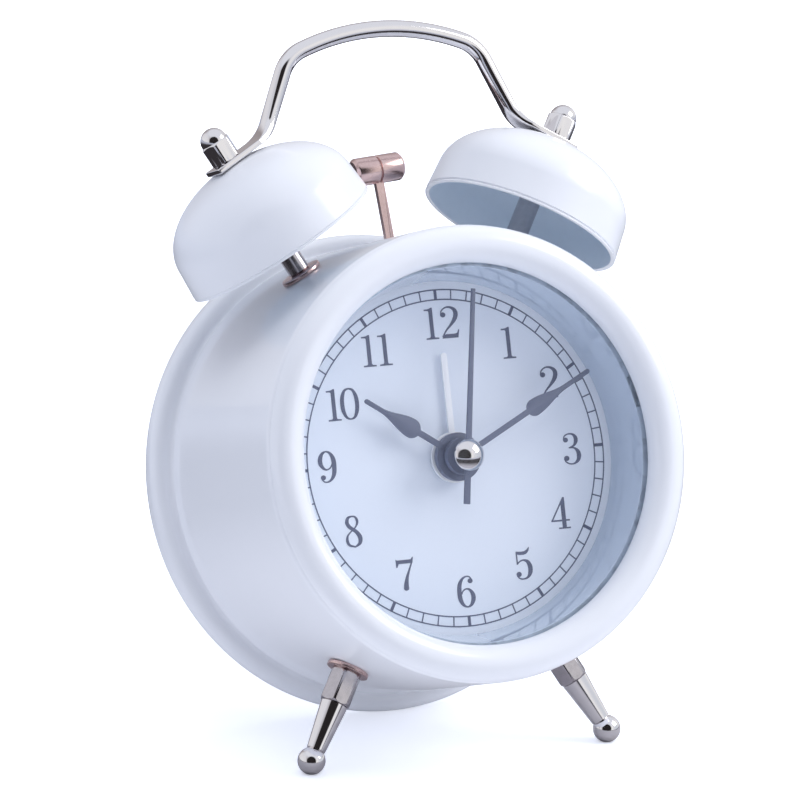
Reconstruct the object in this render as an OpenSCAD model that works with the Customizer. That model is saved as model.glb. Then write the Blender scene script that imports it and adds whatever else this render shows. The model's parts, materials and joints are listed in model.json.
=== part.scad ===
// Twin-bell alarm clock: a drum case with a battery movement, two bells, a hammer and a carrying handle.
// Working frame: X to the right, Y up towards twelve o'clock, Z out of the dial towards the reader.
// Depths are counted backwards from the plane of the glass. The last step leans the clock back on its feet.

/* [Case] */
// Outside radius of the drum
drum_r = 43.8; // [43.6:0.1:46]
// Wall of the drum
case_wall = 1.6; // [1.2:0.1:2]
// How far the front edge of the drum stands in front of the glass
drum_lead = 1; // [0.5:0.1:1.5]
// Depth from the glass to the back of the rear rim
case_depth = 53.5; // [53.5:0.5:60]
// How far the rear rim stands out past the drum
rim_over = 3.2; // [2.7:0.1:5]
// Rounding of the rear rim
rim_round = 3; // [2.5:0.1:3.2]
// Radius of the hollow between drum and rear rim
cove_r = 3.5; // [2.5:0.1:4]
// Rounding of the front edge of the drum
edge_round = 0.8; // [0.4:0.1:1]
// Width of the ledge that the rear cover sits on
ledge = 1.4; // [1:0.1:1.6]
// Thickness of that ledge
ledge_t = 2; // [1.5:0.1:3]
// Radius of the screw bosses
boss_r = 3.2; // [2.8:0.1:3.4]
// Length of the screw bosses
boss_len = 8; // [6:0.5:10]
// Play between pieces that slide together by hand
slip_fit = 0.1; // [0.05:0.01:0.2]

/* [Front] */
// Radius of the round bead of the bezel
bezel_bead = 3.6; // [3:0.1:4]
// Step from the drum in to the bead
bezel_step = 0.1; // [0:0.05:0.5]
// How far the lens reaches under the bezel
lens_lap = 1.3; // [1:0.1:1.6]
// Thickness of the lens
lens_t = 1; // [0.8:0.1:1.3]
// Depth of the lens seat behind the glass plane
lens_seat = 0.5; // [0.5:0.1:0.8]
// How far the sloping ring shows inside the bezel
ring_lip = 0.6; // [0.3:0.1:1]
// Length of the bezel sleeve behind the lens seat
sleeve_len = 4.5; // [3:0.1:6]
// Depth of the dial behind the glass
dial_depth = 11.3; // [11.2:0.1:12.5]
// Thickness of the dial
dial_t = 0.8; // [0.6:0.1:1.2]
// How far the sloping ring draws in from the lens to the dial
ring_draw = 2.5; // [1.5:0.1:3.5]
// Gap from the edge of the dial to the minute track
track_inset = 1.6; // [1:0.1:2.5]
// Width of the minute track
track_w = 1.9; // [1.5:0.1:2.5]
// Width of a printed line
line_w = 0.24; // [0.2:0.02:0.4]
// Width of the printed line at each hour
hour_line_w = 0.6; // [0.4:0.02:0.8]
// Height of the printed ink
ink_t = 0.05; // [0.03:0.01:0.1]

/* [Bells] */
// Angle of each bell from the top
bell_angle = 30; // [29:0.5:34]
// Radius of the bell at its rim
bell_r = 19.8; // [18:0.1:20.5]
// Height of the bell
bell_h = 18.2; // [17:0.1:20]
// Height of the straight skirt of the bell
bell_skirt = 6; // [4:0.1:8]
// How much the skirt draws in
skirt_draw = 0.4; // [0.1:0.1:1]
// Wall of the bell
bell_wall = 0.9; // [0.7:0.05:1.2]
// Gap from the drum to the rim of the bell
bell_lift = 7.3; // [6.5:0.1:9]
// Depth of the bells behind the glass
bell_depth = 23.4; // [22.5:0.1:25]

/* [Fasteners] */
// Radius of the posts that carry the bells
post_r = 2.15; // [2:0.05:2.6]
// Radius of the threaded studs
stud_r = 1.5; // [1.4:0.05:1.6]
// Radius of the washers
washer_r = 4.15; // [3.8:0.05:4.6]
// Thickness of the washers
washer_t = 0.9; // [0.6:0.1:1.2]
// Width across the flats of the nuts
nut_flats = 5.5; // [5:0.1:6]
// Thickness of the nuts inside the case
nut_t = 2.4; // [2:0.1:3]
// Height of the hexagon of a dome nut
dome_hex = 4.3; // [3.5:0.1:5]
// Overall height of a dome nut
dome_nut_h = 7; // [6.5:0.1:8]
// Play of a stud in its hole
stud_play = 0.05; // [0.03:0.01:0.1]
// How far a stud stands past its nut
thread_over = 0.6; // [0.3:0.1:1]
// Radius of the screws
screw_r = 1.1; // [0.9:0.05:1.2]
// Radius of the screw heads
screw_head_r = 2; // [1.8:0.1:2.2]
// Height of the screw heads
screw_head_t = 0.8; // [0.6:0.1:0.9]

/* [Handle] */
// Radius of the handle rod
rod_r = 1.65; // [1.4:0.05:1.9]
// Height of the top of the arch above the bell tops
handle_rise = 24; // [22:0.1:27]
// Radius of the arch
arch_r = 48; // [44:0.5:52]
// Half width of the arch
arch_half = 17.2; // [15:0.1:18]
// Slope of the legs below level
leg_slope = 66; // [62:0.5:70]
// Radius of the bends
bend_r = 8; // [5:0.1:9]
// Thickness of the flattened tabs
tab_t = 1.2; // [1:0.1:1.6]
// Width of the tabs
tab_w = 6.5; // [6:0.1:7.5]
// Length of the tabs beyond the stud
tab_over = 3.9; // [3.4:0.1:5]

/* [Hammer] */
// Depth of the hammer behind the glass
hammer_depth = 31.7; // [31.4:0.1:32]
// Radius of the hammer head
head_r = 2.8; // [2.4:0.1:3]
// Length of the hammer head
head_len = 10.4; // [9:0.1:12]
// Bevel at the ends of the head
head_bevel = 0.6; // [0.3:0.1:1]
// Height of the head above the drum
hammer_reach = 14.2; // [13:0.1:15]
// Width of the hammer arm
arm_w = 1.7; // [1.4:0.1:2]
// Thickness of the hammer arm
arm_t = 1.2; // [0.8:0.1:1.4]
// Lean of the arm to the left in degrees
arm_lean = 5; // [0:0.5:6]
// Distance of the hammer pivot below the top of the drum
pivot_drop = 13.8; // [13:0.1:14.5]
// Swing of the hammer to each side in degrees
hammer_swing = 10.4; // [4:0.1:10.4]

/* [Feet] */
// Angle of each foot from the bottom
foot_angle = 30; // [26:0.5:34]
// Depth of the feet behind the glass
foot_depth = 21; // [20:0.1:23]
// Length of the hexagon of a foot
foot_hex_len = 6.6; // [6:0.1:9]
// Length of the tapered leg
leg_len = 10.4; // [8:0.1:11]
// Radius at the top of the leg
leg_top_r = 2.65; // [2.4:0.05:2.75]
// Radius at the bottom of the leg
leg_end_r = 1.85; // [1.6:0.05:2.1]
// Distance from the end of the leg to the middle of the ball
ball_neck = 1.6; // [1.4:0.1:2]
// Radius of the ball
ball_r = 2.7; // [2.5:0.05:3]
// Depth of the flat worn on each ball
ball_flat = 0.25; // [0.15:0.01:0.35]

/* [Hands] */
// How far the hour hand stops short of the outer line of the track
hour_short = 10.2; // [9:0.1:13]
// How far the minute hand stops short of that line
minute_short = 0.4; // [0:0.1:3]
// How far the second hand stops short of that line
second_short = 0.4; // [0:0.1:3]
// Length of the tail of the second hand
tail_len = 9.4; // [8:0.1:11]
// How far the alarm hand stops short of that line
alarm_short = 12.2; // [9:0.1:14]
// Thickness of the hands
hand_t = 0.4; // [0.3:0.05:0.5]
// Step from one hand up to the next
hand_step = 2.1; // [1.9:0.05:2.2]
// Width of the stem of the hour hand
hour_stem_w = 1.2; // [0.9:0.1:1.6]
// Width of the pear of the hour hand
hour_pear_w = 3.8; // [3:0.1:4.5]
// Where the pear of the hour hand starts and ends, as shares of its length
hour_pear = [0.42, 0.83];
// Radius of the boss of the hour hand
hour_boss_r = 4.65; // [4:0.05:4.8]
// Width of the stem of the minute hand
minute_stem_w = 1.1; // [0.9:0.1:1.5]
// Width of the pear of the minute hand
minute_pear_w = 3.3; // [2.6:0.1:4]
// Where the pear of the minute hand starts and ends, as shares of its length
minute_pear = [0.51, 0.81];
// Radius of the boss of the minute hand
minute_boss_r = 3.55; // [3:0.05:4]
// Width of the fine points of both hands
point_w = 0.9; // [0.7:0.05:1.1]
// Length of the bosses behind the hands
boss_back = 1; // [0.6:0.1:1.2]
// Width of the second hand at its tail
second_tail_w = 1.3; // [1:0.05:1.6]
// Width of the second hand at its tip
second_tip_w = 0.84; // [0.6:0.02:1]
// Radius of the hub of the second hand
second_hub_r = 2.2; // [1.6:0.1:2.6]
// Radius of the cap over the centre
cap_r = 3.05; // [2.6:0.05:3.4]
// Height of the cap
cap_h = 2; // [1.6:0.1:2.4]
// Height of the straight edge of the cap
cap_edge = 0.5; // [0.3:0.1:0.8]
// Width of the alarm hand
alarm_w = 1.3; // [1:0.1:1.6]
// Radius of the disc of the alarm hand
alarm_disc_r = 4.9; // [4:0.1:5.4]
// Angle of the hour hand at rest
hour_at = 303.5; // [0:0.5:360]
// Angle of the minute hand at rest
minute_at = 63.4; // [0:0.2:360]
// Angle of the second hand at rest
second_at = 8.5; // [0:0.5:360]

/* [Movement] */
// Width of the movement plates
plate_w = 51; // [50:0.5:54]
// Thickness of the movement plates
plate_t = 1.2; // [1:0.1:1.4]
// Thickness of the wheels
wheel_t = 1; // [0.8:0.1:1.1]
// Radius of the pillars between the plates
pillar_r = 2; // [1.8:0.05:2.2]
// Distance of the pillars from the edges of the plates
pillar_inset = 2.5; // [2.4:0.1:3]
// Step from one layer of wheels to the next
layer_step = 1.9; // [1.9:0.05:2]
// Distance from the centre to the going train arbors
train_cd = 12.6; // [12.4:0.1:13]
// Distance from the centre to the minute wheel
motion_cd = 9.6; // [9.4:0.1:9.8]
// Distance from the centre to the alarm setting arbor
alarm_cd = 13.5; // [13.4:0.1:14]
// Radius of the setting arbors
set_arbor_r = 1; // [0.8:0.05:1.1]
// Running play of pivots and tubes
run_play = 0.04; // [0.02:0.01:0.05]
// Radius of the battery cell
cell_r = 7.25; // [7:0.05:7.25]
// Length of the battery cell with its button
cell_len = 50.5; // [49:0.1:50.5]

/* [Back] */
// How far the rear cover lies inside the rim
cover_inset = 0.9; // [0.9:0.1:1.5]
// Thickness of the rear cover
cover_t = 2; // [1.8:0.1:2.4]
// Radius of the setting knobs
knob_r = 5.5; // [4.5:0.1:5.6]
// Height of the setting knobs
knob_h = 5; // [4:0.1:6]
// Travel of the alarm switch
switch_travel = 5; // [4:0.1:6]

/* [Hidden] */
$fn = 64;
over = 1;
gap = 0.3;
bezel_mid_r = drum_r - bezel_step - bezel_bead;
lip_r = bezel_mid_r - bezel_bead;
lens_r = lip_r + lens_lap;
dial_open_r = lip_r - ring_draw;
track_r = dial_open_r - track_inset;
drum_in = drum_r - case_wall;
rim_r = drum_r + rim_over;
rim_mid_r = rim_r - rim_round;
rim_mid_d = case_depth - rim_round;
cove_mid_r = drum_r + cove_r;
cove_d = rim_mid_d - sqrt(pow(rim_round + cove_r, 2) - pow(cove_mid_r - rim_mid_r, 2));
cover_seat = case_depth - cover_t - cover_inset;
cover_back = cover_seat + cover_t;
boss_merge = 0.4;
screw_circle_r = drum_in - boss_r + boss_merge;
screw_angles = [30, 150, 270];
press_play = 0.01;

// Lean on two balls and the rear rim
ball_mid = drum_r + washer_t + foot_hex_len + leg_len + ball_neck;
lean_a = rim_mid_d - foot_depth;
lean_b = rim_mid_r - ball_mid * cos(foot_angle);
lean_c = ball_r - ball_flat - rim_round;
lean = atan2(lean_a, lean_b) - acos(lean_c / norm([lean_a, lean_b]));
lift = rim_mid_r * cos(lean) + rim_mid_d * sin(lean) + rim_round;
mid_y = ((rim_mid_r - bezel_mid_r) * sin(lean) + rim_mid_d * cos(lean) + rim_round - bezel_bead) / 2;

// Bells and handle
bell_seat = drum_r + bell_lift;
bell_top = bell_seat + bell_h;
bell_in_r = bell_r - skirt_draw - bell_wall;
bell_in_h = bell_h - bell_wall;
post_angle = asin(post_r / bell_in_r);
nut_top = sqrt(pow(drum_in, 2) - pow(nut_flats / sqrt(3), 2));
stud_low = nut_top - nut_t - thread_over;
post_end = bell_seat + bell_skirt + (bell_in_h - bell_skirt) * cos(post_angle) - stud_play;
tab_mid = bell_top + tab_t / 2;
nut_seat = bell_top + tab_t;
handle_top = tab_mid * cos(bell_angle) + handle_rise;
arch_mid = handle_top - arch_r;
arch_turn = asin(arch_half / arch_r);
arch_end = [arch_half, arch_mid + arch_r * cos(arch_turn)];
bend_mid = arch_end - bend_r * [sin(arch_turn), cos(arch_turn)];
leg_start = bend_mid + bend_r * [sin(leg_slope), cos(leg_slope)];
leg_run = [cos(leg_slope), -sin(leg_slope)];
seat_up = [sin(bell_angle), cos(bell_angle)];
seat_out = [cos(bell_angle), -sin(bell_angle)];
leg_to_bend = bend_r * (cos(leg_slope - bell_angle) - 1);
leg_length = (leg_start * seat_up + leg_to_bend - tab_mid) / -(leg_run * seat_up);
leg_end = leg_start + leg_length * leg_run;
foot_mid = leg_end + bend_r * [sin(leg_slope), cos(leg_slope)];
tab_start = foot_mid - bend_r * seat_up;
tab_in = -(tab_start * seat_out);
leg_flat = 0.25;
tab_corner = 0.25;
handle_sides = 20;

// Layers of the movement, as depths
dial_back = dial_depth + dial_t;
dial_clear = 1.3;
plate_clear = 1.2;
function layer(i) = dial_back + dial_clear + i * layer_step;
front_plate_d = layer(2) + wheel_t + plate_clear;
front_plate_end = front_plate_d + plate_t;
function train_layer(i) = front_plate_end + plate_clear + i * layer_step;
back_plate_d = hammer_depth + arm_t / 2 + gap;
back_plate_end = back_plate_d + plate_t;
plate_low = -17;
plate_high = 24;
pillar_x = plate_w / 2 - pillar_inset;
pillar_low = plate_low + pillar_inset;
pillar_high = plate_high - pillar_inset;
dial_pin_r = 1.2;
dial_pin_inset = 4;
pivot_r = 0.4;
arbor_r = 0.8;
minute_post_r = 0.6;
pinion_over = 0.2;

// Nested tubes at the centre
second_r = 0.45;
tube_wall = 0.7;
tube_clear = 0.5;
hand_clear = 0.7;
cap_grip = 0.3;
minute_bore = second_r + run_play;
minute_tube_r = minute_bore + tube_wall;
hour_bore = minute_tube_r + run_play;
hour_tube_r = hour_bore + tube_wall;
alarm_bore = hour_tube_r + run_play;
alarm_tube_r = alarm_bore + tube_wall;
dial_hole_r = alarm_tube_r + tube_clear;
hour_len = track_r - hour_short;
minute_len = track_r - minute_short;
second_len = track_r - second_short;
alarm_len = track_r - alarm_short;
alarm_hand_d = dial_depth - hand_clear;
hour_hand_d = alarm_hand_d - hand_step;
minute_hand_d = hour_hand_d - hand_step;
second_hand_d = minute_hand_d - hand_step;

// Tooth counts of the wheels and pinions
rotor_leaves = 12;
intermediate_teeth = 60;
intermediate_leaves = 10;
seconds_teeth = 60;
seconds_leaves = 8;
third_teeth = 64;
third_leaves = 8;
centre_teeth = 60;
cannon_leaves = 12;
minute_teeth = 36;
minute_leaves = 10;
hour_teeth = 40;
time_leaves = 12;
alarm_teeth = 48;
alarm_leaves = 12;

// Places of the arbors
third_dir = 200;
intermediate_dir = 40;
rotor_dir = 100;
minute_dir = 0;
time_dir = 0;
alarm_dir = 110;
rotor_cd = 10.8;
function polar(r, a) = [r * cos(a), r * sin(a)];
third_at = polar(train_cd, third_dir);
intermediate_at = polar(train_cd, intermediate_dir);
rotor_at = intermediate_at + polar(rotor_cd, rotor_dir);
minute_wheel_at = polar(motion_cd, minute_dir);
function pair_mod(cd, a, b) = 2 * cd / (a + b);
minute_mod = pair_mod(motion_cd, cannon_leaves, minute_teeth);
hour_mod = pair_mod(motion_cd, minute_leaves, hour_teeth);
time_at = minute_wheel_at + polar(minute_mod * (minute_teeth + time_leaves) / 2, time_dir);
alarm_set_at = polar(alarm_cd, alarm_dir);
alarm_mod = pair_mod(alarm_cd, alarm_teeth, alarm_leaves);

// Phase of a wheel that meets another wheel whose phase is known
function meet(phase, teeth_a, teeth_b, dir) = dir + 180 - (180 - (dir - phase) * teeth_a) / teeth_b;
third_phase = meet(0, seconds_leaves, third_teeth, third_dir);
centre_phase = meet(0, third_leaves, centre_teeth, third_dir + 180);
intermediate_leaf_phase = meet(0, seconds_teeth, intermediate_leaves, intermediate_dir);
rotor_phase = meet(0, intermediate_teeth, rotor_leaves, rotor_dir);
minute_phase = meet(0, cannon_leaves, minute_teeth, minute_dir);
hour_phase = meet(0, minute_leaves, hour_teeth, minute_dir + 180);
time_phase = meet(minute_phase, minute_teeth, time_leaves, time_dir);
alarm_set_phase = meet(0, alarm_teeth, alarm_leaves, alarm_dir);

// Hammer drive
pivot_y = drum_r - pivot_drop;
head_y = drum_r + hammer_reach;
hub_r = 2.4;
hub_front = hammer_depth - 1.2;
arm_front = hammer_depth - arm_t / 2;
arm_back = hammer_depth + arm_t / 2;
pin_r = 1;
pin_head = 0.8;
slot_play = 1;
slot_half = arm_w / 2 + pivot_drop * tan(hammer_swing) + slot_play;
function arm_x(y) = (head_y - y) * tan(arm_lean);
arm_slot_x = arm_x(drum_r);
knee_rise = 4.5;
knuckle_r = arm_w / 2 + 0.15;
knee = [arm_x(pivot_y + knee_rise), knee_rise];
arm_run = (head_y - pivot_y - knee_rise) / cos(arm_lean);
coil_x = -10;
core_r = 1.8;
coil_r = 4;
core_len = 14;
core_tip = 1.5;
core_top = pivot_y - 2;
yoke_low = core_top - core_len;
yoke_t = 1.5;
coil_d = back_plate_d - coil_r - gap;
armature_t = 1.2;
armature_gap = 2.6;
hub_bite = 0.8;
bracket_half = 5;
bracket_over = 4;
leaf_t = 0.4;
leaf_foot_t = 0.8;
leaf_inset = 2;

// Stepping motor
stator_d = train_layer(1) + 0.2;
stator_rim = 1.2;
stator_arm = 2.5;
stator_link = 2;
rotor_r = 2.4;
rotor_over = 1;
rotor_hole_r = rotor_r + 0.45;
motor_coil_x = 17;
motor_coil_r = 2.4;
motor_coil_low = 4.5;
stator_low = rotor_at[1] - rotor_hole_r - stator_rim;
stator_high = rotor_at[1] + rotor_hole_r + stator_rim;
stator_side = rotor_at[0] + rotor_hole_r + stator_arm;

// Battery tray and rear controls
tray_wall = 1;
tray_front = back_plate_end + gap;
cell_d = tray_front + tray_wall + gap + cell_r;
cell_nub = [2.75, 1.5];
contact_room = 1.75;
contact_half = 5;
contact_t = 0.5;
contact_crest = 0.6;
tray_half_x = cell_len / 2 + contact_room;
tray_half_y = cell_r + gap;
door_t = 1.2;
door_lap = 1.6;
door_play = 0.25;
door_rim = 1.3;
door_half = [tray_half_x + door_lap, tray_half_y + door_lap];
cell_y = door_half[1] - sqrt(pow(drum_in - slip_fit - door_rim, 2) - pow(door_half[0], 2));
board_x = [-23.5, -9.5];
board_gap = 2.4;
board_high = 18;
board_low = cell_y + tray_half_y + tray_wall + board_gap;
board_y = [board_low, board_low + board_high];
board_t = 1;
crystal_at = [-19, board_low + 5];
crystal_r = 1.5;
crystal_len = 8;
rib_len = 12;
rib_w = 0.8;
rib_pitch = 2;
rib_deep = 0.5;
ribs = 5;
knob_gap = 0.5;
knob_d = cover_back + knob_gap;
knob_end = 1;
groove_r = 0.55;
groove_out = 0.25;
grooves = 24;
switch_x = 14;
switch_y = 22;
switch_stem = [3, 2.2];
switch_cap = [7, 5];
switch_plate_t = 1;
switch_grip_t = 2;
slot_len = 2.4;
slot_w = 0.4;
slot_deep = 0.4;
dome_steps = 28;
dome_inset = 0.1;
dome_neck = 0.6;

// Leans the clock back so that both feet and the rear rim stand on the floor
module seated() {
    translate([0, -mid_y, lift]) rotate([90 - lean, 0, 0]) children();
}

// Stands a piece on the case, its own Z pointing out from the case axis
module on_case(angle, depth) {
    translate([0, 0, -depth]) rotate([0, 0, -angle]) rotate([-90, 0, 0]) children();
}

// Places of the four studs: two posts and two feet
module at_studs() {
    for (a = [-bell_angle, bell_angle]) on_case(a, bell_depth) children();
    for (a = [180 - foot_angle, 180 + foot_angle]) on_case(a, foot_depth) children();
}

// Clear hole for a stud through a piece that lies between two heights
module stud_hole(low, high) {
    translate([0, 0, low - over]) cylinder(h = high - low + 2 * over, r = stud_r + stud_play);
}

// Round bar between two depths
module bar(r, from, to) {
    translate([0, 0, -to]) cylinder(h = to - from, r = r);
}

// Ring between two depths
module ring(r_out, r_in, from, to) {
    difference() {
        bar(r_out, from, to);
        bar(r_in, from - over, to + over);
    }
}

// Flat plate of a 2D outline between two depths
module slab(from, to) {
    translate([0, 0, -to]) linear_extrude(to - from) children();
}

// Profile of a turned piece, drawn as radius and depth
module turned() {
    rotate_extrude($fn = 128) mirror([0, 1]) children();
}

// Block between two corners given as x, y and depth
module block(x, y, from, to) {
    translate([x[0], y[0], -to]) cube([x[1] - x[0], y[1] - y[0], to - from]);
}

module hexagon(flats, h) {
    cylinder(h = h, r = flats / sqrt(3), $fn = 6);
}

// Toothed outline with teeth narrow enough to run freely
function tooth(mod, teeth, at) =
    let (
        pitch_r = mod * teeth / 2,
        root_r = pitch_r - 1.05 * mod,
        tip_r = pitch_r + 0.72 * mod,
        half = 90 * mod,
        root_a = min(0.62 * half / root_r, 165 / teeth),
        pitch_a = 0.42 * half / pitch_r,
        tip_a = 0.2 * half / tip_r
    )
    [
        polar(root_r, at - root_a), polar(pitch_r, at - pitch_a), polar(tip_r, at - tip_a),
        polar(tip_r, at + tip_a), polar(pitch_r, at + pitch_a), polar(root_r, at + root_a)
    ];

module gear(mod, teeth, phase, from, to) {
    slab(from, to) polygon([
        for (i = [0 : teeth - 1]) each tooth(mod, teeth, phase + i * 360 / teeth)
    ]);
}

// Case

module drum_profile() {
    difference() {
        union() {
            translate([drum_in, -drum_lead]) square([case_wall, case_depth + drum_lead]);
            polygon([
                [drum_in, cove_d], [cove_mid_r, cove_d], [rim_mid_r, rim_mid_d],
                [rim_mid_r, case_depth], [drum_in, case_depth]
            ]);
            intersection() {
                translate([rim_mid_r, rim_mid_d]) circle(rim_round);
                translate([drum_in, 0]) square([rim_r, case_depth]);
            }
            translate([drum_in - ledge, cover_seat - ledge_t]) square([ledge + case_wall / 2, ledge_t]);
        }
        translate([cove_mid_r, cove_d]) circle(cove_r);
        difference() {
            translate([drum_r - edge_round, -drum_lead - over]) square(edge_round + over);
            translate([drum_r - edge_round, edge_round - drum_lead]) circle(edge_round);
            translate([drum_r - edge_round, edge_round - drum_lead]) square(edge_round + 2 * over);
        }
    }
}

module case_drum() {
    color("whitesmoke") seated() difference() {
        union() {
            turned() drum_profile();
            for (a = screw_angles)
                translate(polar(screw_circle_r, a)) bar(boss_r, cover_seat - boss_len, cover_seat);
        }
        for (a = screw_angles)
            translate(polar(screw_circle_r, a))
                bar(screw_r + stud_play, cover_seat - boss_len + over, cover_seat + over);
        at_studs() stud_hole(drum_in - over, drum_r);
        block([arm_slot_x - slot_half, arm_slot_x + slot_half], [drum_in - over, drum_r + over],
            arm_front - slot_play, arm_back + slot_play);
    }
}

module front_bezel() {
    color("white") seated() turned() {
        intersection() {
            translate([bezel_mid_r, 0]) circle(bezel_bead);
            translate([0, -bezel_bead - over]) square([drum_r, bezel_bead + over - drum_lead]);
        }
        intersection() {
            translate([bezel_mid_r, 0]) circle(bezel_bead);
            translate([0, -bezel_bead - over]) square([drum_in - slip_fit, bezel_bead + over + lens_seat]);
        }
        translate([lens_r + slip_fit, -drum_lead])
            square([drum_in - lens_r - 2 * slip_fit, drum_lead + lens_seat + sleeve_len]);
    }
}

module lens() {
    color([0.85, 0.92, 1, 0.35]) seated() bar(lens_r, lens_seat, lens_seat + lens_t);
}

// Sloping glossy wall between lens and dial
module dial_ring() {
    front = lens_seat + lens_t;
    color("lightsteelblue") seated() turned() polygon([
        [lip_r - ring_lip, front], [lens_r, front], [lens_r, dial_depth], [dial_open_r, dial_depth]
    ]);
}

module dial() {
    color("aliceblue") seated() {
        ring(lens_r, dial_hole_r, dial_depth, dial_back);
        for (side = [-1, 1], y = [pillar_low, pillar_high - dial_pin_inset])
            translate([side * (pillar_x - dial_pin_inset), y]) bar(dial_pin_r, dial_back, front_plate_d);
    }
}

module minute_track() {
    color("dimgray") seated() slab(dial_depth - ink_t, dial_depth) {
        for (r = [track_r, track_r - track_w]) difference() {
            circle(r + line_w / 2);
            circle(r - line_w / 2);
        }
        for (i = [0 : 59]) rotate(6 * i)
            translate([0, track_r - track_w / 2])
                square([i % 5 == 0 ? hour_line_w : line_w, track_w], center = true);
    }
}

// Bells and their fittings

function dome(r, h, skirt, steps) =
    [for (i = [0 : steps]) [r * cos(90 * i / steps), skirt + (h - skirt) * sin(90 * i / steps)]];

function backwards(list) = [for (i = [len(list) - 1 : -1 : 0]) list[i]];

module bell(angle) {
    outer = dome(bell_r - skirt_draw, bell_h, bell_skirt, dome_steps);
    inner = dome(bell_in_r, bell_in_h, bell_skirt, dome_steps);
    color("white") seated() on_case(angle, bell_depth) translate([0, 0, bell_seat]) difference() {
        rotate_extrude($fn = 128)
            polygon(concat([[bell_r - bell_wall, 0], [bell_r, 0]], outer, backwards(inner)));
        stud_hole(0, bell_h);
    }
}

module bell_left() {
    bell(-bell_angle);
}

module bell_right() {
    bell(bell_angle);
}

// Shouldered post with a threaded stud at each end
module post(angle) {
    foot = drum_r + washer_t;
    color("silver") seated() on_case(angle, bell_depth) {
        translate([0, 0, foot]) cylinder(h = post_end - foot, r = post_r);
        translate([0, 0, stud_low]) cylinder(h = nut_seat + dome_hex - stud_low, r = stud_r);
    }
}

module post_left() {
    post(-bell_angle);
}

module post_right() {
    post(bell_angle);
}

module stud_washers() {
    color("rosybrown") seated() at_studs() translate([0, 0, drum_r]) difference() {
        cylinder(h = washer_t, r = washer_r);
        stud_hole(0, washer_t);
    }
}

module inner_nuts() {
    color("silver") seated() at_studs() translate([0, 0, nut_top - nut_t]) difference() {
        hexagon(nut_flats, nut_t);
        stud_hole(0, nut_t);
    }
}

module dome_nuts() {
    dome_r = nut_flats / 2 - dome_inset;
    color("silver") seated() for (a = [-bell_angle, bell_angle])
        on_case(a, bell_depth) translate([0, 0, nut_seat]) difference() {
            union() {
                hexagon(nut_flats, dome_hex);
                translate([0, 0, dome_hex])
                    cylinder(h = dome_nut_h - dome_hex - dome_r + dome_neck, r = dome_r);
                translate([0, 0, dome_nut_h - dome_r]) sphere(dome_r);
            }
            stud_hole(0, dome_hex - over + stud_play);
        }
}

// Places along half of the handle, from the top of the arch to the end of the tab: x, y, slope and flatness
function arch_stations(n) =
    [for (i = [0 : n]) let (s = arch_turn * i / n) [arch_r * sin(s), arch_mid + arch_r * cos(s), s, 0]];
function bend_stations(n) =
    [for (i = [1 : n])
        let (s = arch_turn + (leg_slope - arch_turn) * i / n, p = bend_mid + bend_r * [sin(s), cos(s)])
        [p[0], p[1], s, 0]];
function leg_stations(n) =
    [for (i = [1 : n])
        let (t = i / n, p = leg_start + leg_length * t * leg_run)
        [p[0], p[1], leg_slope, leg_flat * t * t]];
function foot_stations(n) =
    [for (i = [1 : n])
        let (
            t = i / n,
            s = leg_slope + (bell_angle - leg_slope) * t,
            p = foot_mid - bend_r * [sin(s), cos(s)]
        )
        [p[0], p[1], s, leg_flat + (1 - leg_flat) * t]];
function tab_stations(n) =
    [for (i = [1 : n])
        let (p = tab_start + (tab_in + tab_over) * i / n * seat_out)
        [p[0], p[1], bell_angle, 1]];

// Cross-section of the handle at one place, round on the rod and flat on the tab
function handle_section(at) =
    let (
        thick = rod_r + (tab_t / 2 - rod_r) * at[3],
        wide = rod_r + (tab_w / 2 - rod_r) * at[3],
        power = 1 + (tab_corner - 1) * at[3]
    )
    [for (k = [0 : handle_sides - 1])
        let (
            c = cos(360 * k / handle_sides),
            s = sin(360 * k / handle_sides),
            u = thick * sign(c) * pow(abs(c), power),
            v = wide * sign(s) * pow(abs(s), power)
        )
        [at[0] + sin(at[2]) * u, at[1] + cos(at[2]) * u, v]];

function mirrored(at) = [-at[0], at[1], -at[2], at[3]];

// Skin over a row of sections with the same number of points
module lofted(sections) {
    n = len(sections[0]);
    last = len(sections) - 1;
    points = [for (section = sections) each section];
    sides = [for (i = [0 : last - 1], k = [0 : n - 1])
        let (a = i * n + k, b = i * n + (k + 1) % n)
        each [[a, a + n, b + n], [a, b + n, b]]];
    first_cap = [for (k = [0 : n - 1]) k];
    last_cap = [for (k = [n - 1 : -1 : 0]) last * n + k];
    polyhedron(points, concat(sides, [first_cap, last_cap]));
}

module handle() {
    right = concat(arch_stations(9), bend_stations(7), leg_stations(5), foot_stations(7), tab_stations(2));
    left = [for (i = [len(right) - 1 : -1 : 1]) mirrored(right[i])];
    color("silver") seated() difference() {
        translate([0, 0, -bell_depth]) lofted([for (at = concat(left, right)) handle_section(at)]);
        for (a = [-bell_angle, bell_angle]) on_case(a, bell_depth) stud_hole(bell_top, nut_seat);
    }
}

// Feet

// Keeps what stands above the floor
module above_floor() {
    size = 8 * drum_r;
    difference() {
        children();
        translate([-size / 2, -size / 2, -size]) cube(size);
    }
}

module foot(angle) {
    top = drum_r + washer_t + foot_hex_len;
    color("silver") above_floor() seated() on_case(angle, foot_depth) {
        translate([0, 0, stud_low]) cylinder(h = top - stud_low, r = stud_r);
        translate([0, 0, top]) cylinder(h = leg_len, r1 = leg_top_r, r2 = leg_end_r);
        translate([0, 0, ball_mid]) sphere(ball_r);
    }
}

module foot_left() {
    foot(180 + foot_angle);
}

module foot_right() {
    foot(180 - foot_angle);
}

module foot_hexes() {
    color("silver") seated() for (a = [180 - foot_angle, 180 + foot_angle])
        on_case(a, foot_depth) translate([0, 0, drum_r + washer_t]) difference() {
            hexagon(nut_flats, foot_hex_len);
            stud_hole(0, foot_hex_len);
        }
}

// Movement frame

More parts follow.
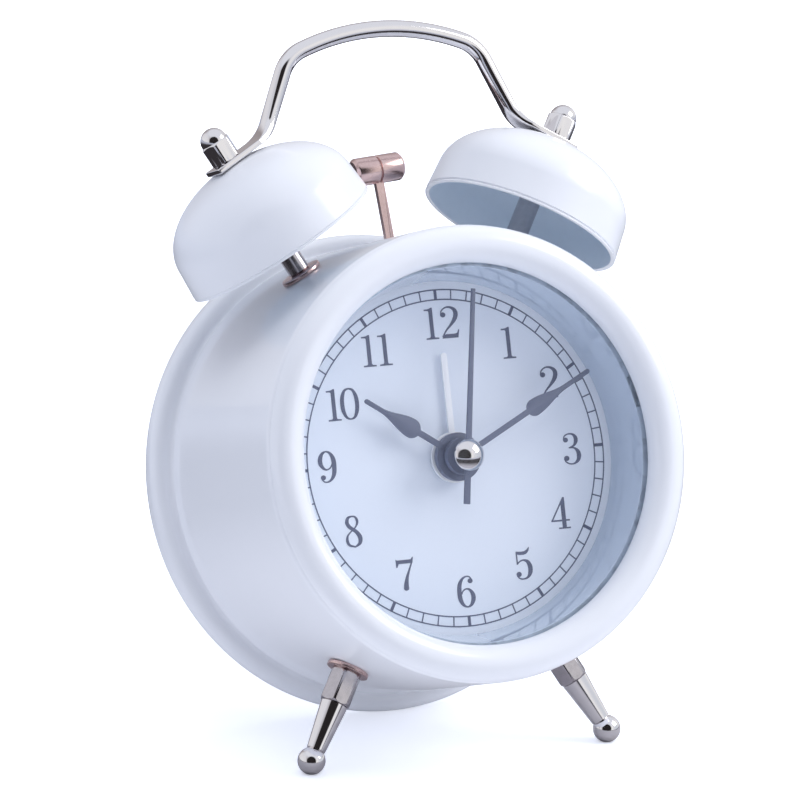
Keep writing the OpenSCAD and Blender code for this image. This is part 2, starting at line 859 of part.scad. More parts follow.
module plate_outline() {
    translate([-plate_w / 2, plate_low]) square([plate_w, plate_high - plate_low]);
}

module at_pillars() {
    for (x = [-pillar_x, pillar_x], y = [pillar_low, pillar_high]) translate([x, y]) children();
}

// Holes for the pivots that both plates share
module pivot_holes(from, to) {
    for (p = [third_at, intermediate_at, rotor_at])
        translate(p) bar(pivot_r + run_play, from - over, to + over);
    for (p = [time_at, alarm_set_at])
        translate(p) bar(set_arbor_r + run_play, from - over, to + over);
    at_pillars() bar(screw_r + stud_play, from - over, to + over);
}

module front_plate() {
    color("goldenrod") seated() {
        difference() {
            slab(front_plate_d, front_plate_end) plate_outline();
            pivot_holes(front_plate_d, front_plate_end);
            bar(minute_tube_r + run_play, front_plate_d - over, front_plate_end + over);
        }
        translate(minute_wheel_at) bar(minute_post_r, layer(1) - pinion_over, front_plate_d);
    }
}

module back_plate() {
    color("goldenrod") seated() difference() {
        slab(back_plate_d, back_plate_end) {
            plate_outline();
            translate([-bracket_half, plate_high - over])
                square([2 * bracket_half, pivot_y + bracket_over - plate_high + over]);
        }
        pivot_holes(back_plate_d, back_plate_end);
        bar(second_r + run_play, back_plate_d - over, back_plate_end + over);
        translate([0, pivot_y]) bar(pin_r, back_plate_d - over, back_plate_end + over);
    }
}

module plate_pillars() {
    color("goldenrod") seated() at_pillars()
        ring(pillar_r, screw_r + stud_play, front_plate_end, back_plate_d);
}

module plate_screws() {
    color("silver") seated() at_pillars() {
        bar(screw_r, front_plate_d, back_plate_end);
        bar(screw_head_r, front_plate_d - screw_head_t, front_plate_d);
    }
}

// Stepping motor and circuit

// Iron circuit round the rotor, held on one of the pillars
module stator() {
    left = rotor_at[0] - rotor_hole_r - stator_rim;
    low = motor_coil_low - stator_arm;
    color("slategray") seated() slab(stator_d, stator_d + wheel_t) difference() {
        union() {
            translate([left, stator_low]) square([stator_side - left, stator_high - stator_low]);
            translate([stator_side - over, stator_high - stator_arm])
                square([pillar_x - stator_side + over, stator_arm]);
            translate([stator_side - stator_link, low]) square([stator_link, stator_low - low + over]);
            translate([stator_side - stator_link, low])
                square([motor_coil_x + stator_link - stator_side + stator_link, stator_arm]);
            translate([pillar_x, pillar_high]) circle(pillar_r + stator_rim);
        }
        translate(rotor_at) circle(rotor_hole_r);
        translate([pillar_x, pillar_high]) circle(pillar_r + stud_play);
    }
}

// Winding on its core between the two ends of the stator
module motor_coil() {
    length = stator_high - stator_arm - motor_coil_low;
    color("chocolate") seated() translate([motor_coil_x, motor_coil_low + stud_play, -stator_d - wheel_t / 2])
        rotate([-90, 0, 0]) cylinder(h = length - 2 * stud_play, r = motor_coil_r);
}

module circuit_board() {
    color("seagreen") seated() block(board_x, board_y, back_plate_end, back_plate_end + board_t);
}

module quartz_crystal() {
    color("silver") seated() translate(crystal_at) translate([0, 0, -back_plate_end - board_t - crystal_r])
        rotate([-90, 0, 0]) cylinder(h = crystal_len, r = crystal_r);
}

// Hammer drive

module hammer_pin() {
    front = hub_front - gap;
    color("silver") seated() translate([0, pivot_y]) {
        bar(pin_r, front, back_plate_end);
        bar(pin_r + pin_head, front - pin_head, front);
    }
}

module magnet_yoke() {
    color("slategray") seated() {
        block([coil_x - coil_r, coil_x + coil_r], [yoke_low, yoke_low + yoke_t],
            coil_d - coil_r, back_plate_d);
        translate([coil_x, yoke_low + yoke_t, -coil_d]) rotate([-90, 0, 0])
            cylinder(h = core_top - yoke_low - yoke_t, r = core_r);
    }
}

module magnet_coil() {
    low = yoke_low + yoke_t + gap;
    color("chocolate") seated() translate([coil_x, low, -coil_d]) rotate([-90, 0, 0]) difference() {
        cylinder(h = core_top - low - core_tip, r = coil_r);
        translate([0, 0, -over]) cylinder(h = core_top - low + over, r = core_r + stud_play);
    }
}

// Springy blade that throws the hammer back from the right-hand bell
module rebound_leaf() {
    top = drum_in - leaf_inset;
    side = arm_w / 2 + arm_x(top) + (top - pivot_y) * tan(hammer_swing) + gap;
    foot = pivot_y + hub_r + 2 * gap;
    color("silver") seated() {
        block([side, side + leaf_t], [foot, top], arm_front, arm_back);
        block([side, bracket_half], [foot, foot + leaf_foot_t], arm_front, back_plate_d);
    }
}

// Turns what is drawn around the middle of the head to the lean of the arm
module leaning() {
    translate([0, head_y]) rotate(arm_lean) children();
}

module hammer_arm() {
    color("rosybrown") seated() difference() {
        union() {
            translate([0, pivot_y]) {
                bar(hub_r, hub_front, arm_back);
                rotate(-atan2(knee[0], knee[1]))
                    block([-arm_w / 2, arm_w / 2], [0, norm(knee)], arm_front, arm_back);
                translate(knee) bar(knuckle_r, arm_front, arm_back);
            }
            leaning() block([-arm_w / 2, arm_w / 2], [-arm_run, 0], arm_front, arm_back);
        }
        translate([0, pivot_y]) bar(pin_r + run_play, hub_front - over, arm_back + over);
    }
}

module hammer_head() {
    half = head_len / 2;
    groove = 0.2;
    color("rosybrown") seated() leaning() difference() {
        translate([0, 0, -hammer_depth]) rotate([0, 90, 0]) rotate_extrude() polygon([
            [0, -half], [head_r - head_bevel, -half], [head_r, head_bevel - half], [head_r, -groove],
            [head_r - groove, -groove], [head_r - groove, groove], [head_r, groove],
            [head_r, half - head_bevel], [head_r - head_bevel, half], [0, half]
        ]);
        block([-arm_w / 2, arm_w / 2], [-2 * head_r, 0], arm_front, arm_back);
    }
}

module armature() {
    low = core_top + armature_gap;
    color("slategray") seated() difference() {
        block([coil_x - coil_r, hub_bite - hub_r], [low, low + armature_t], coil_d - core_r, arm_back);
        translate([0, pivot_y]) bar(hub_r, hub_front - over, arm_back + over);
        translate([0, pivot_y]) bar(hub_r + gap, coil_d - coil_r, hub_front);
    }
}

// Battery

module battery() {
    body = cell_len - cell_nub[1];
    color("dimgray") seated() translate([-cell_len / 2, cell_y, -cell_d]) rotate([0, 90, 0]) {
        cylinder(h = body, r = cell_r);
        translate([0, 0, body]) cylinder(h = cell_nub[1], r = cell_nub[0]);
    }
}

module battery_tray() {
    x = tray_half_x + tray_wall;
    y = tray_half_y + tray_wall;
    color("whitesmoke") seated() difference() {
        block([-x, x], [cell_y - y, cell_y + y], tray_front, cover_seat);
        block([-tray_half_x, tray_half_x], [cell_y - tray_half_y, cell_y + tray_half_y],
            tray_front + tray_wall, cover_seat + over);
    }
}

// Plate at the button end and bowed spring blade at the other
module battery_contacts() {
    half = contact_half;
    color("silver") seated() {
        block([cell_len / 2, tray_half_x], [cell_y - half, cell_y + half], cell_d - half, cell_d + half);
        translate([-tray_half_x, cell_y - half, -cell_d]) rotate([-90, 0, 0]) linear_extrude(2 * half)
            polygon([
                [0, -half], [contact_t, -half], [contact_room, -contact_crest],
                [contact_room, contact_crest], [contact_t, half], [0, half]
            ]);
    }
}

// Going train

// Arbor between the plates with a fine pivot in each
module arbor() {
    bar(pivot_r, front_plate_d, back_plate_end);
    bar(arbor_r, front_plate_end + gap, back_plate_d - gap);
}

module seconds_wheel() {
    color("ivory") seated() {
        bar(second_r, second_hand_d - hand_t - cap_grip, back_plate_end);
        gear(pair_mod(train_cd, seconds_leaves, third_teeth), seconds_leaves, 0,
            train_layer(1) - pinion_over, train_layer(2));
        gear(pair_mod(train_cd, seconds_teeth, intermediate_leaves), seconds_teeth, 0,
            train_layer(2), train_layer(2) + wheel_t);
    }
}

module third_wheel() {
    color("ivory") seated() translate(third_at) {
        arbor();
        gear(pair_mod(train_cd, third_leaves, centre_teeth), third_leaves, 0,
            train_layer(0) - pinion_over, train_layer(1));
        gear(pair_mod(train_cd, seconds_leaves, third_teeth), third_teeth, third_phase,
            train_layer(1), train_layer(1) + wheel_t);
    }
}

module centre_wheel() {
    color("ivory") seated() difference() {
        gear(pair_mod(train_cd, third_leaves, centre_teeth), centre_teeth, centre_phase,
            train_layer(0), train_layer(0) + wheel_t);
        bar(minute_tube_r + run_play, train_layer(0) - over, train_layer(0) + wheel_t + over);
    }
}

module intermediate_wheel() {
    color("ivory") seated() translate(intermediate_at) {
        arbor();
        gear(pair_mod(train_cd, seconds_teeth, intermediate_leaves), intermediate_leaves,
            intermediate_leaf_phase, train_layer(2) - pinion_over, train_layer(3));
        gear(pair_mod(rotor_cd, intermediate_teeth, rotor_leaves), intermediate_teeth, 0,
            train_layer(3), train_layer(3) + wheel_t);
    }
}

module rotor() {
    color("slategray") seated() translate(rotor_at) {
        arbor();
        bar(rotor_r, stator_d - rotor_over, stator_d + wheel_t + rotor_over);
        gear(pair_mod(rotor_cd, intermediate_teeth, rotor_leaves), rotor_leaves, rotor_phase,
            train_layer(3) - pinion_over, train_layer(3) + wheel_t + pinion_over);
    }
}

// Motion work under the dial

module minute_cannon() {
    color("goldenrod") seated() difference() {
        union() {
            bar(minute_tube_r, minute_hand_d - hand_t, train_layer(0) + wheel_t);
            gear(minute_mod, cannon_leaves, 0, layer(2) - pinion_over, layer(2) + wheel_t + pinion_over);
        }
        bar(minute_bore, 0, back_plate_d);
    }
}

module minute_wheel() {
    color("ivory") seated() translate(minute_wheel_at) difference() {
        union() {
            gear(minute_mod, minute_teeth, minute_phase, layer(2), layer(2) + wheel_t);
            gear(hour_mod, minute_leaves, 0, layer(1) - pinion_over, layer(2));
        }
        bar(minute_post_r + run_play, dial_back, front_plate_d + over);
    }
}

module hour_wheel() {
    color("ivory") seated() difference() {
        union() {
            bar(hour_tube_r, hour_hand_d - hand_t, layer(1) + wheel_t);
            gear(hour_mod, hour_teeth, hour_phase, layer(1), layer(1) + wheel_t);
        }
        bar(hour_bore, 0, back_plate_d);
    }
}

module alarm_wheel() {
    color("ivory") seated() difference() {
        union() {
            bar(alarm_tube_r, alarm_hand_d - hand_t, layer(0) + wheel_t);
            gear(alarm_mod, alarm_teeth, 0, layer(0), layer(0) + wheel_t);
        }
        bar(alarm_bore, 0, back_plate_d);
    }
}

// Setting arbors and knobs

module setting_arbor(at, mod, leaves, phase, layer_d) {
    color("silver") seated() translate(at) {
        bar(set_arbor_r, layer_d - pinion_over, knob_d + knob_h - knob_end);
        gear(mod, leaves, phase, layer_d - pinion_over, layer_d + wheel_t + pinion_over);
    }
}

module time_arbor() {
    setting_arbor(time_at, minute_mod, time_leaves, time_phase, layer(2));
}

module alarm_arbor() {
    setting_arbor(alarm_set_at, alarm_mod, alarm_leaves, alarm_set_phase, layer(0));
}

// Grooved knob on the end of a setting arbor
module knob(at) {
    color("whitesmoke") seated() translate(at) difference() {
        bar(knob_r, knob_d, knob_d + knob_h);
        bar(set_arbor_r + press_play, knob_d - over, knob_d + knob_h - knob_end);
        for (i = [0 : grooves - 1]) translate(polar(knob_r + groove_out, i * 360 / grooves))
            bar(groove_r, knob_d - over, knob_d + knob_h + over);
    }
}

module time_knob() {
    knob(time_at);
}

module alarm_knob() {
    knob(alarm_set_at);
}

// Hands

// Stem, pear and fine point of a hand, pointing to twelve
module pear_hand(length, stem_w, pear_w, pear) {
    steps = 12;
    pear_r = pear_w / 2;
    point_r = point_w / 2;
    waist = length * pear[0] + pear_r;
    neck = length * pear[1];
    taper = [for (i = [0 : steps])
        let (t = i / steps)
        [point_r + (pear_r - point_r) * (1 + cos(180 * t)) / 2, waist + (neck - waist) * t]];
    translate([-stem_w / 2, 0]) square([stem_w, waist]);
    translate([0, waist]) circle(pear_r);
    polygon(concat(taper, [for (p = backwards(taper)) [-p[0], p[1]]]));
    translate([-point_r, neck - point_r]) square([point_w, length - neck]);
    translate([0, length - point_r]) circle(point_r);
}

module hour_hand() {
    color("dimgray") seated() rotate([0, 0, -hour_at]) difference() {
        union() {
            slab(hour_hand_d - hand_t, hour_hand_d) pear_hand(hour_len, hour_stem_w, hour_pear_w, hour_pear);
            bar(hour_boss_r, hour_hand_d - hand_t, hour_hand_d + boss_back);
        }
        bar(hour_tube_r + press_play, 0, dial_depth);
    }
}

module minute_hand() {
    color("dimgray") seated() rotate([0, 0, -minute_at]) difference() {
        union() {
            slab(minute_hand_d - hand_t, minute_hand_d)
                pear_hand(minute_len, minute_stem_w, minute_pear_w, minute_pear);
            bar(minute_boss_r, minute_hand_d - hand_t, minute_hand_d + boss_back);
        }
        bar(minute_tube_r + press_play, 0, dial_depth);
    }
}

module second_hand() {
    color("dimgray") seated() rotate([0, 0, -second_at]) difference() {
        union() {
            slab(second_hand_d - hand_t, second_hand_d) polygon([
                [-second_tail_w / 2, -tail_len], [second_tail_w / 2, -tail_len],
                [second_tip_w / 2, second_len], [-second_tip_w / 2, second_len]
            ]);
            bar(second_hub_r, second_hand_d - hand_t, second_hand_d + boss_back);
        }
        bar(second_r + press_play, 0, dial_depth);
    }
}

// Polished dome over the centre of the second hand
module hand_cap() {
    back = second_hand_d - hand_t;
    rise = cap_h - cap_edge;
    ball = (pow(cap_r, 2) + pow(rise, 2)) / (2 * rise);
    color("gainsboro") seated() difference() {
        intersection() {
            bar(cap_r, back - cap_h, back);
            translate([0, 0, cap_h - ball - back]) sphere(ball);
        }
        bar(second_r + press_play, back - cap_grip - press_play, back + over);
    }
}

module alarm_hand() {
    color("white") seated() difference() {
        slab(alarm_hand_d - hand_t, alarm_hand_d) {
            circle(alarm_disc_r);
            translate([-alarm_w / 2, 0]) square([alarm_w, alarm_len - alarm_w / 2]);
            translate([0, alarm_len - alarm_w / 2]) circle(alarm_w / 2);
        }
        bar(alarm_tube_r + press_play, 0, dial_back);
    }
}

// Rear cover and controls

module door_outline(play) {
    translate([0, cell_y])
        square([2 * (door_half[0] - play), 2 * (door_half[1] - play)], center = true);
}

module rear_cover() {
    slot_x = (switch_travel + switch_stem[0]) / 2 + gap;
    slot_y = switch_stem[1] / 2 + gap;
    color("white") seated() difference() {
        bar(drum_in - slip_fit, cover_seat, cover_back);
        slab(cover_seat - over, cover_back + over)
            translate([0, cell_y]) square([2 * tray_half_x, 2 * tray_half_y], center = true);
        slab(cover_back - door_t, cover_back + over) door_outline(0);
        for (p = [time_at, alarm_set_at])
            translate(p) bar(set_arbor_r + gap, cover_seat - over, cover_back + over);
        for (a = screw_angles)
            translate(polar(screw_circle_r, a)) bar(screw_r + slip_fit, cover_seat - over, cover_back + over);
        block([switch_x - slot_x, switch_x + slot_x], [switch_y - slot_y, switch_y + slot_y],
            cover_seat - over, cover_back + over);
    }
}

module cover_screws() {
    head_end = cover_back + screw_head_t;
    color("silver") seated() for (a = screw_angles) translate(polar(screw_circle_r, a)) difference() {
        union() {
            bar(screw_r, cover_seat - boss_len + 2 * over, cover_back);
            bar(screw_head_r, cover_back, head_end);
        }
        for (turn = [0, 90])
            slab(head_end - slot_deep, head_end + over)
                rotate(turn) square([slot_len, slot_w], center = true);
    }
}

// Slider with a grip behind the cover and a retaining plate inside it
module alarm_switch() {
    inside = cover_seat - gap;
    outside = cover_back + gap;
    color("dimgray") seated() translate([switch_x - switch_travel / 2, switch_y]) {
        slab(inside, outside) square(switch_stem, center = true);
        slab(inside - switch_plate_t, inside) square(switch_cap, center = true);
        slab(outside, outside + switch_grip_t) square(switch_cap, center = true);
    }
}

module battery_door() {
    color("white") seated() difference() {
        slab(cover_back - door_t, cover_back) door_outline(door_play);
        for (i = [0 : ribs - 1]) translate([0, cell_y + (i - (ribs - 1) / 2) * rib_pitch])
            slab(cover_back - rib_deep, cover_back + over) square([rib_len, rib_w], center = true);
    }
}

case_drum();
front_bezel();
lens();
dial_ring();
dial();
minute_track();
rear_cover();
cover_screws();
bell_left();
bell_right();
post_left();
post_right();
stud_washers();
inner_nuts();
dome_nuts();
handle();
foot_left();
foot_right();
foot_hexes();
front_plate();
back_plate();
plate_pillars();
plate_screws();
stator();
motor_coil();
circuit_board();
quartz_crystal();
hammer_pin();
magnet_yoke();
magnet_coil();
rebound_leaf();
battery();
battery_tray();
battery_contacts();
seconds_wheel();
second_hand();
hand_cap();
third_wheel();
centre_wheel();
intermediate_wheel();
rotor();
minute_cannon();
minute_hand();
minute_wheel();
hour_wheel();
hour_hand();
alarm_wheel();
alarm_hand();
time_arbor();
time_knob();
alarm_arbor();
alarm_knob();
hammer_arm();
hammer_head();
armature();
alarm_switch();
battery_door();
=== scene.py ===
import functools
import json
import math

import bmesh
import bpy
from bpy.props import FloatProperty, FloatVectorProperty, IntProperty, PointerProperty
from mathutils import Matrix, Vector
from mathutils.geometry import delaunay_2d_cdt

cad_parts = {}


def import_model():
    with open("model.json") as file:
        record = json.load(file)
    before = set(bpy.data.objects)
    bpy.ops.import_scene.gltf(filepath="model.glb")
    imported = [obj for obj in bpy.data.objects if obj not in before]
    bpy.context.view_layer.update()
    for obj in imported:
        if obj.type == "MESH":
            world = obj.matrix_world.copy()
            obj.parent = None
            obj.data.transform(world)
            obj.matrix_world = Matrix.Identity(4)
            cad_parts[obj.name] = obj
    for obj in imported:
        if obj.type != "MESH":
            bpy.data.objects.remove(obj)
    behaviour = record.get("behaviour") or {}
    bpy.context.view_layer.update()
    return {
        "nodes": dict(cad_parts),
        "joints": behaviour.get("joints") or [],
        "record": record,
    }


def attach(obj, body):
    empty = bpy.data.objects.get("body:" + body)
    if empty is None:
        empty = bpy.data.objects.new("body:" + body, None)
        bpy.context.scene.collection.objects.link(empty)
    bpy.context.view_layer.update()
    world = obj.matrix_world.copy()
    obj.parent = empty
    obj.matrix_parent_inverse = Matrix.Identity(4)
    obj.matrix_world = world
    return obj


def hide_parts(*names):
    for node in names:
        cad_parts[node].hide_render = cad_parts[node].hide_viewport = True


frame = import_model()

bl_info = {
    "name": "Twin-Bell Alarm Clock",
    "version": (1, 0, 0),
    "blender": (4, 5, 0),
    "location": "3D Viewport > Sidebar > Clock",
    "description": "Builds the looks of a twin-bell alarm clock over its CAD frame",
    "category": "Add Mesh",
}

MM = 0.001
NODES = frame["nodes"]
BODIES = frame["record"]["behaviour"]["bodies"]
BODY_OF = {node: body for body, members in BODIES.items() for node in members}

# Clock frame: X to the right, Y up towards twelve, Z out of the dial, zero on the glass
AXIS = next(joint for joint in frame["joints"] if joint["name"] == "minutes_turn")
RIGHT = Vector((1.0, 0.0, 0.0))
BACK = Vector(AXIS["axis"]).normalized()
UP = RIGHT.cross(BACK)

# Play between fitted pieces, bevel of a hexagon and rounding of a hand
FIT = 0.1 * MM
HEX_BEVEL = 0.35 * MM
HAND_SOFT = 0.06 * MM
# Point that the lights look at
CLOCK_MIDDLE = Vector((0.0, 0.0, 0.06))


# Sizes and colours

def length(name, description, millimetres):
    return FloatProperty(
        name=name, description=description, default=millimetres * MM, min=0.0, unit="LENGTH", precision=5
    )


def turn(name, description, degrees):
    return FloatProperty(name=name, description=description, default=math.radians(degrees), subtype="ANGLE")


def watts(name, description, power):
    return FloatProperty(name=name, description=description, default=power, unit="POWER")


def linear(code):
    """Linear colour of a hex sRGB code."""
    values = [int(code[i:i + 2], 16) / 255 for i in (1, 3, 5)]
    return [v / 12.92 if v <= 0.04045 else ((v + 0.055) / 1.055) ** 2.4 for v in values] + [1.0]


def colour(name, description, code):
    return FloatVectorProperty(
        name=name, description=description, default=linear(code), size=4, min=0.0, max=1.0, subtype="COLOR"
    )


class ClockSizes(bpy.types.PropertyGroup):
    drum_r: length("Drum radius", "Outside radius of the drum", 43.8)
    wall: length("Drum wall", "Wall of the drum", 1.6)
    lead: length("Drum lead", "How far the drum stands in front of the glass", 1.0)
    case_depth: length("Case depth", "From the glass to the back of the rear rim", 53.5)
    rim_over: length("Rim step", "How far the rear rim stands out past the drum", 3.2)
    rim_round: length("Rim rounding", "Rounding of the rear rim", 3.0)
    rim_flat: length("Rim flat", "Width of the level band of the rear rim", 0.9)
    rim_soft: length("Rim front", "Rounding of the rear rim towards the drum", 2.4)
    cove_r: length("Hollow", "Radius of the hollow between drum and rear rim", 1.2)
    cove_dip: length("Hollow depth", "How far the hollow dips below the drum", 0.7)
    edge: length("Edge rounding", "Rounding of the front edge of the drum", 1.6)
    cover_t: length("Cover thickness", "Thickness of the rear cover", 2.0)
    cover_inset: length("Cover inset", "How far the rear cover lies inside the rim", 0.9)
    bead: length("Bezel bead", "Radius of the round bead of the bezel", 3.6)
    bezel_step: length("Bezel step", "Step from the drum in to the bead", 0.1)
    lens_lap: length("Lens lap", "How far the lens reaches under the bezel", 1.3)
    lens_seat: length("Lens seat", "Depth of the lens behind the glass plane", 0.5)
    lens_t: length("Lens thickness", "Thickness of the lens", 1.0)
    ring_lip: length("Ring lip", "How far the sloping ring shows inside the bezel", 0.6)
    ring_draw: length("Ring draw", "How far the sloping ring draws in to the dial", 2.5)
    dial_depth: length("Dial depth", "Depth of the dial behind the glass", 11.3)
    track_inset: length("Track inset", "Gap from the edge of the dial to the minute track", 1.6)
    track_w: length("Track width", "Width of the minute track", 1.9)
    line_w: length("Line width", "Width of a printed line", 0.24)
    hour_line_w: length("Hour line width", "Width of the printed line at each hour", 0.6)
    ink_t: length("Ink height", "Height of the printed ink", 0.05)
    numeral_h: length("Numeral height", "Height of the numerals", 6.1)
    numeral_r: length("Numeral circle", "Radius of the circle that the numerals stand on", 25.8)
    bell_r: length("Bell radius", "Radius of a bell at its rim", 19.8)
    bell_h: length("Bell height", "Height of a bell", 18.2)
    bell_skirt: length("Bell skirt", "Height of the straight skirt of a bell", 6.0)
    skirt_draw: length("Skirt draw", "How much the skirt draws in", 0.4)
    bell_wall: length("Bell wall", "Wall of a bell", 0.9)
    bell_lift: length("Bell lift", "Gap from the drum to the rim of a bell", 7.3)
    bell_depth: length("Bell depth", "Depth of the bells behind the glass", 23.4)
    bell_angle: turn("Bell angle", "Angle of each bell from the top", 30)
    post_r: length("Post radius", "Radius of the posts that carry the bells", 2.15)
    washer_r: length("Washer radius", "Radius of the washers", 4.15)
    washer_t: length("Washer thickness", "Thickness of the washers", 0.9)
    nut_flats: length("Nut flats", "Width across the flats of the nuts", 5.5)
    hex_soft: length("Hexagon edge", "How much the edges of the hexagons are rounded off", 0.1)
    dome_hex: length("Nut hexagon", "Height of the hexagon of a dome nut", 4.3)
    dome_nut_h: length("Nut height", "Overall height of a dome nut", 7.0)
    rod_r: length("Rod radius", "Radius of the handle rod", 1.65)
    handle_rise: length("Handle rise", "Height of the arch above the bell tops", 24.0)
    arch_r: length("Arch radius", "Radius of the arch of the handle", 48.0)
    arch_half: length("Arch half width", "Half width of the arch of the handle", 17.2)
    leg_slope: turn("Leg slope", "Slope of the legs of the handle below level", 66)
    bend_r: length("Bend radius", "Radius of the bends of the handle", 8.0)
    tab_t: length("Tab thickness", "Thickness of the flattened tabs", 1.2)
    tab_w: length("Tab width", "Width of the tabs", 6.5)
    tab_over: length("Tab length", "Length of the tabs beyond the stud", 3.9)
    hammer_depth: length("Hammer depth", "Depth of the hammer behind the glass", 31.7)
    hammer_reach: length("Hammer reach", "Height of the hammer head above the drum", 14.2)
    head_r: length("Head radius", "Radius of the hammer head", 2.8)
    head_len: length("Head length", "Length of the hammer head", 10.4)
    head_bevel: length("Head bevel", "Bevel at the ends of the hammer head", 0.6)
    arm_lean: turn("Arm lean", "Lean of the hammer arm to the left", 5)
    slot_half: length("Slot half length", "Half length of the slot that the hammer swings in", 4.38)
    slot_w: length("Slot width", "Width of that slot", 3.2)
    foot_angle: turn("Foot angle", "Angle of each foot from the bottom", 30)
    foot_depth: length("Foot depth", "Depth of the feet behind the glass", 21.0)
    foot_hex_len: length("Foot hexagon", "Length of the hexagon of a foot", 6.6)
    leg_len: length("Foot leg", "Length of the tapered leg of a foot", 10.4)
    leg_top_r: length("Leg top", "Radius at the top of the tapered leg", 2.65)
    leg_end_r: length("Leg end", "Radius at the bottom of the tapered leg", 1.85)
    ball_neck: length("Ball neck", "From the end of the leg to the middle of the ball", 1.6)
    ball_r: length("Ball radius", "Radius of the ball of a foot", 2.7)
    cap_r: length("Cap radius", "Radius of the cap over the centre of the hands", 3.05)
    cap_h: length("Cap height", "Height of that cap", 2.0)
    cap_edge: length("Cap edge", "Height of the straight edge of that cap", 0.5)
    knob_r: length("Knob radius", "Radius of the setting knobs", 5.5)
    screw_head_r: length("Screw head", "Radius of the heads of the cover screws", 2.0)
    lip_soft: length("Lip rounding", "Rounding of the mouth of a bell", 0.12)
    crease: length("Lip crease", "Depth of the crease above the mouth of a bell", 0.28)
    cross_w: length("Cross width", "Width of the cross in the screw heads", 0.5)
    cross_depth: length("Cross depth", "Depth of the cross in the screw heads", 0.6)
    round_sides: IntProperty(
        name="Round sides", description="Sides of a large round piece", default=256, min=32
    )
    small_sides: IntProperty(
        name="Small sides", description="Sides of a small round piece", default=96, min=12
    )


class ClockColours(bpy.types.PropertyGroup):
    white: colour("White", "Drum, bezel, bells, cover and knobs", "#F3F4F8")
    chrome: colour("Chrome", "Handle, nuts, feet and cap", "#E9E6E7")
    nickel: colour("Nickel", "Posts and hexagons", "#C6C1C5")
    rose: colour("Rose nickel", "Hammer and washers", "#DEC6C3")
    dial: colour("Dial", "Dial card", "#EFF5FF")
    ink: colour("Ink", "Numerals and minute track", "#636982")
    hands: colour("Hands", "Hour, minute and second hands", "#697087")
    alarm: colour("Alarm hand", "Alarm hand and its disc", "#FBFCFF")
    ring: colour("Ring", "Sloping ring round the dial", "#BCCADC")
    brass: colour("Brass", "Movement plates", "#C9A45C")
    switch: colour("Grey", "Alarm switch and battery tray", "#6A6D73")


class ClockStage(bpy.types.PropertyGroup):
    azimuth: turn("Azimuth", "How far the camera stands to the left of the dial", 25.2)
    elevation: turn("Elevation", "How far the camera stands above the axis of the case", -2.4)
    roll: turn("Roll", "Roll of the camera", -6.0)
    distance: length("Distance", "From the camera to the glass", 1300.0)
    aim_right: length("Aim right", "How far right of the picture centre the glass centre lies", 14.75)
    aim_down: length("Aim down", "How far below the picture centre the glass centre lies", 10.15)
    focal: FloatProperty(name="Focal length", description="Lens of the camera in millimetres", default=307.6)
    top: watts("Top light", "Power of the light overhead", 22.0)
    key: watts("Key light", "Power of the key light", 3.6)


def sizes():
    return bpy.context.scene.clock_sizes


def colours():
    return bpy.context.scene.clock_colours


# Places

def glass_centre():
    """Point of the case axis in the plane of the glass."""
    hub = Vector(AXIS["pos_m"])
    front = min((vertex.co - hub).dot(BACK) for vertex in NODES["lens"].data.vertices)
    return hub + BACK * (front - sizes().lens_seat)


def clock_place():
    """Matrix from the clock frame to the row frame."""
    axes = Matrix((RIGHT, UP, -BACK)).transposed().to_4x4()
    return Matrix.Translation(glass_centre()) @ axes


def on_case(angle, depth):
    """Matrix of a place on the drum whose Z points out from the case axis."""
    return (
        clock_place()
        @ Matrix.Translation((0.0, 0.0, -depth))
        @ Matrix.Rotation(-angle, 4, "Z")
        @ Matrix.Rotation(-math.pi / 2, 4, "X")
    )


def bell_places():
    angle = sizes().bell_angle
    return {"left": on_case(-angle, sizes().bell_depth), "right": on_case(angle, sizes().bell_depth)}


def foot_places():
    angle = sizes().foot_angle
    return {
        "left": on_case(math.pi + angle, sizes().foot_depth),
        "right": on_case(math.pi - angle, sizes().foot_depth),
    }


def spots(node):
    """Points of a CAD piece in the clock frame."""
    inverse = clock_place().inverted()
    return [inverse @ vertex.co for vertex in NODES[node].data.vertices]


# Shapes

def arc(middle, radius, start, end, steps):
    """Points of an arc, with angles in degrees."""
    angles = [math.radians(start + (end - start) * i / steps) for i in range(steps + 1)]
    return [(middle[0] + radius * math.cos(a), middle[1] + radius * math.sin(a)) for a in angles]


def lathe(profile, sides, loop=True, flats=None):
    """Turns points of radius and height about Z; with flats the piece is cut to a hexagon."""
    shape = bmesh.new()
    rings = []
    for radius, height in profile:
        if radius < 1e-9:
            rings.append([shape.verts.new((0.0, 0.0, height))])
            continue
        ring = []
        for k in range(sides):
            angle = 2 * math.pi * k / sides
            reach = radius
            if flats:
                lean = (angle % (math.pi / 3)) - math.pi / 6
                reach = min(radius, flats / 2 / math.cos(lean))
            ring.append(shape.verts.new((reach * math.cos(angle), reach * math.sin(angle), height)))
        rings.append(ring)
    pairs = list(zip(rings, rings[1:]))
    if loop:
        pairs.append((rings[-1], rings[0]))
    for a, b in pairs:
        for k in range(sides if len(a) + len(b) > 2 else 0):
            n = (k + 1) % sides
            corners = [a[k % len(a)], a[n % len(a)], b[n % len(b)], b[k % len(b)]]
            shape.faces.new(list(dict.fromkeys(corners)))
    return shape


def loft(sections):
    """Skin over a row of closed sections, capped at both ends."""
    shape = bmesh.new()
    rows = [[shape.verts.new(point) for point in section] for section in sections]
    for a, b in zip(rows, rows[1:]):
        for k in range(len(a)):
            n = (k + 1) % len(a)
            shape.faces.new((a[k], a[n], b[n], b[k]))
    shape.faces.new(rows[0])
    shape.faces.new(rows[-1])
    return shape


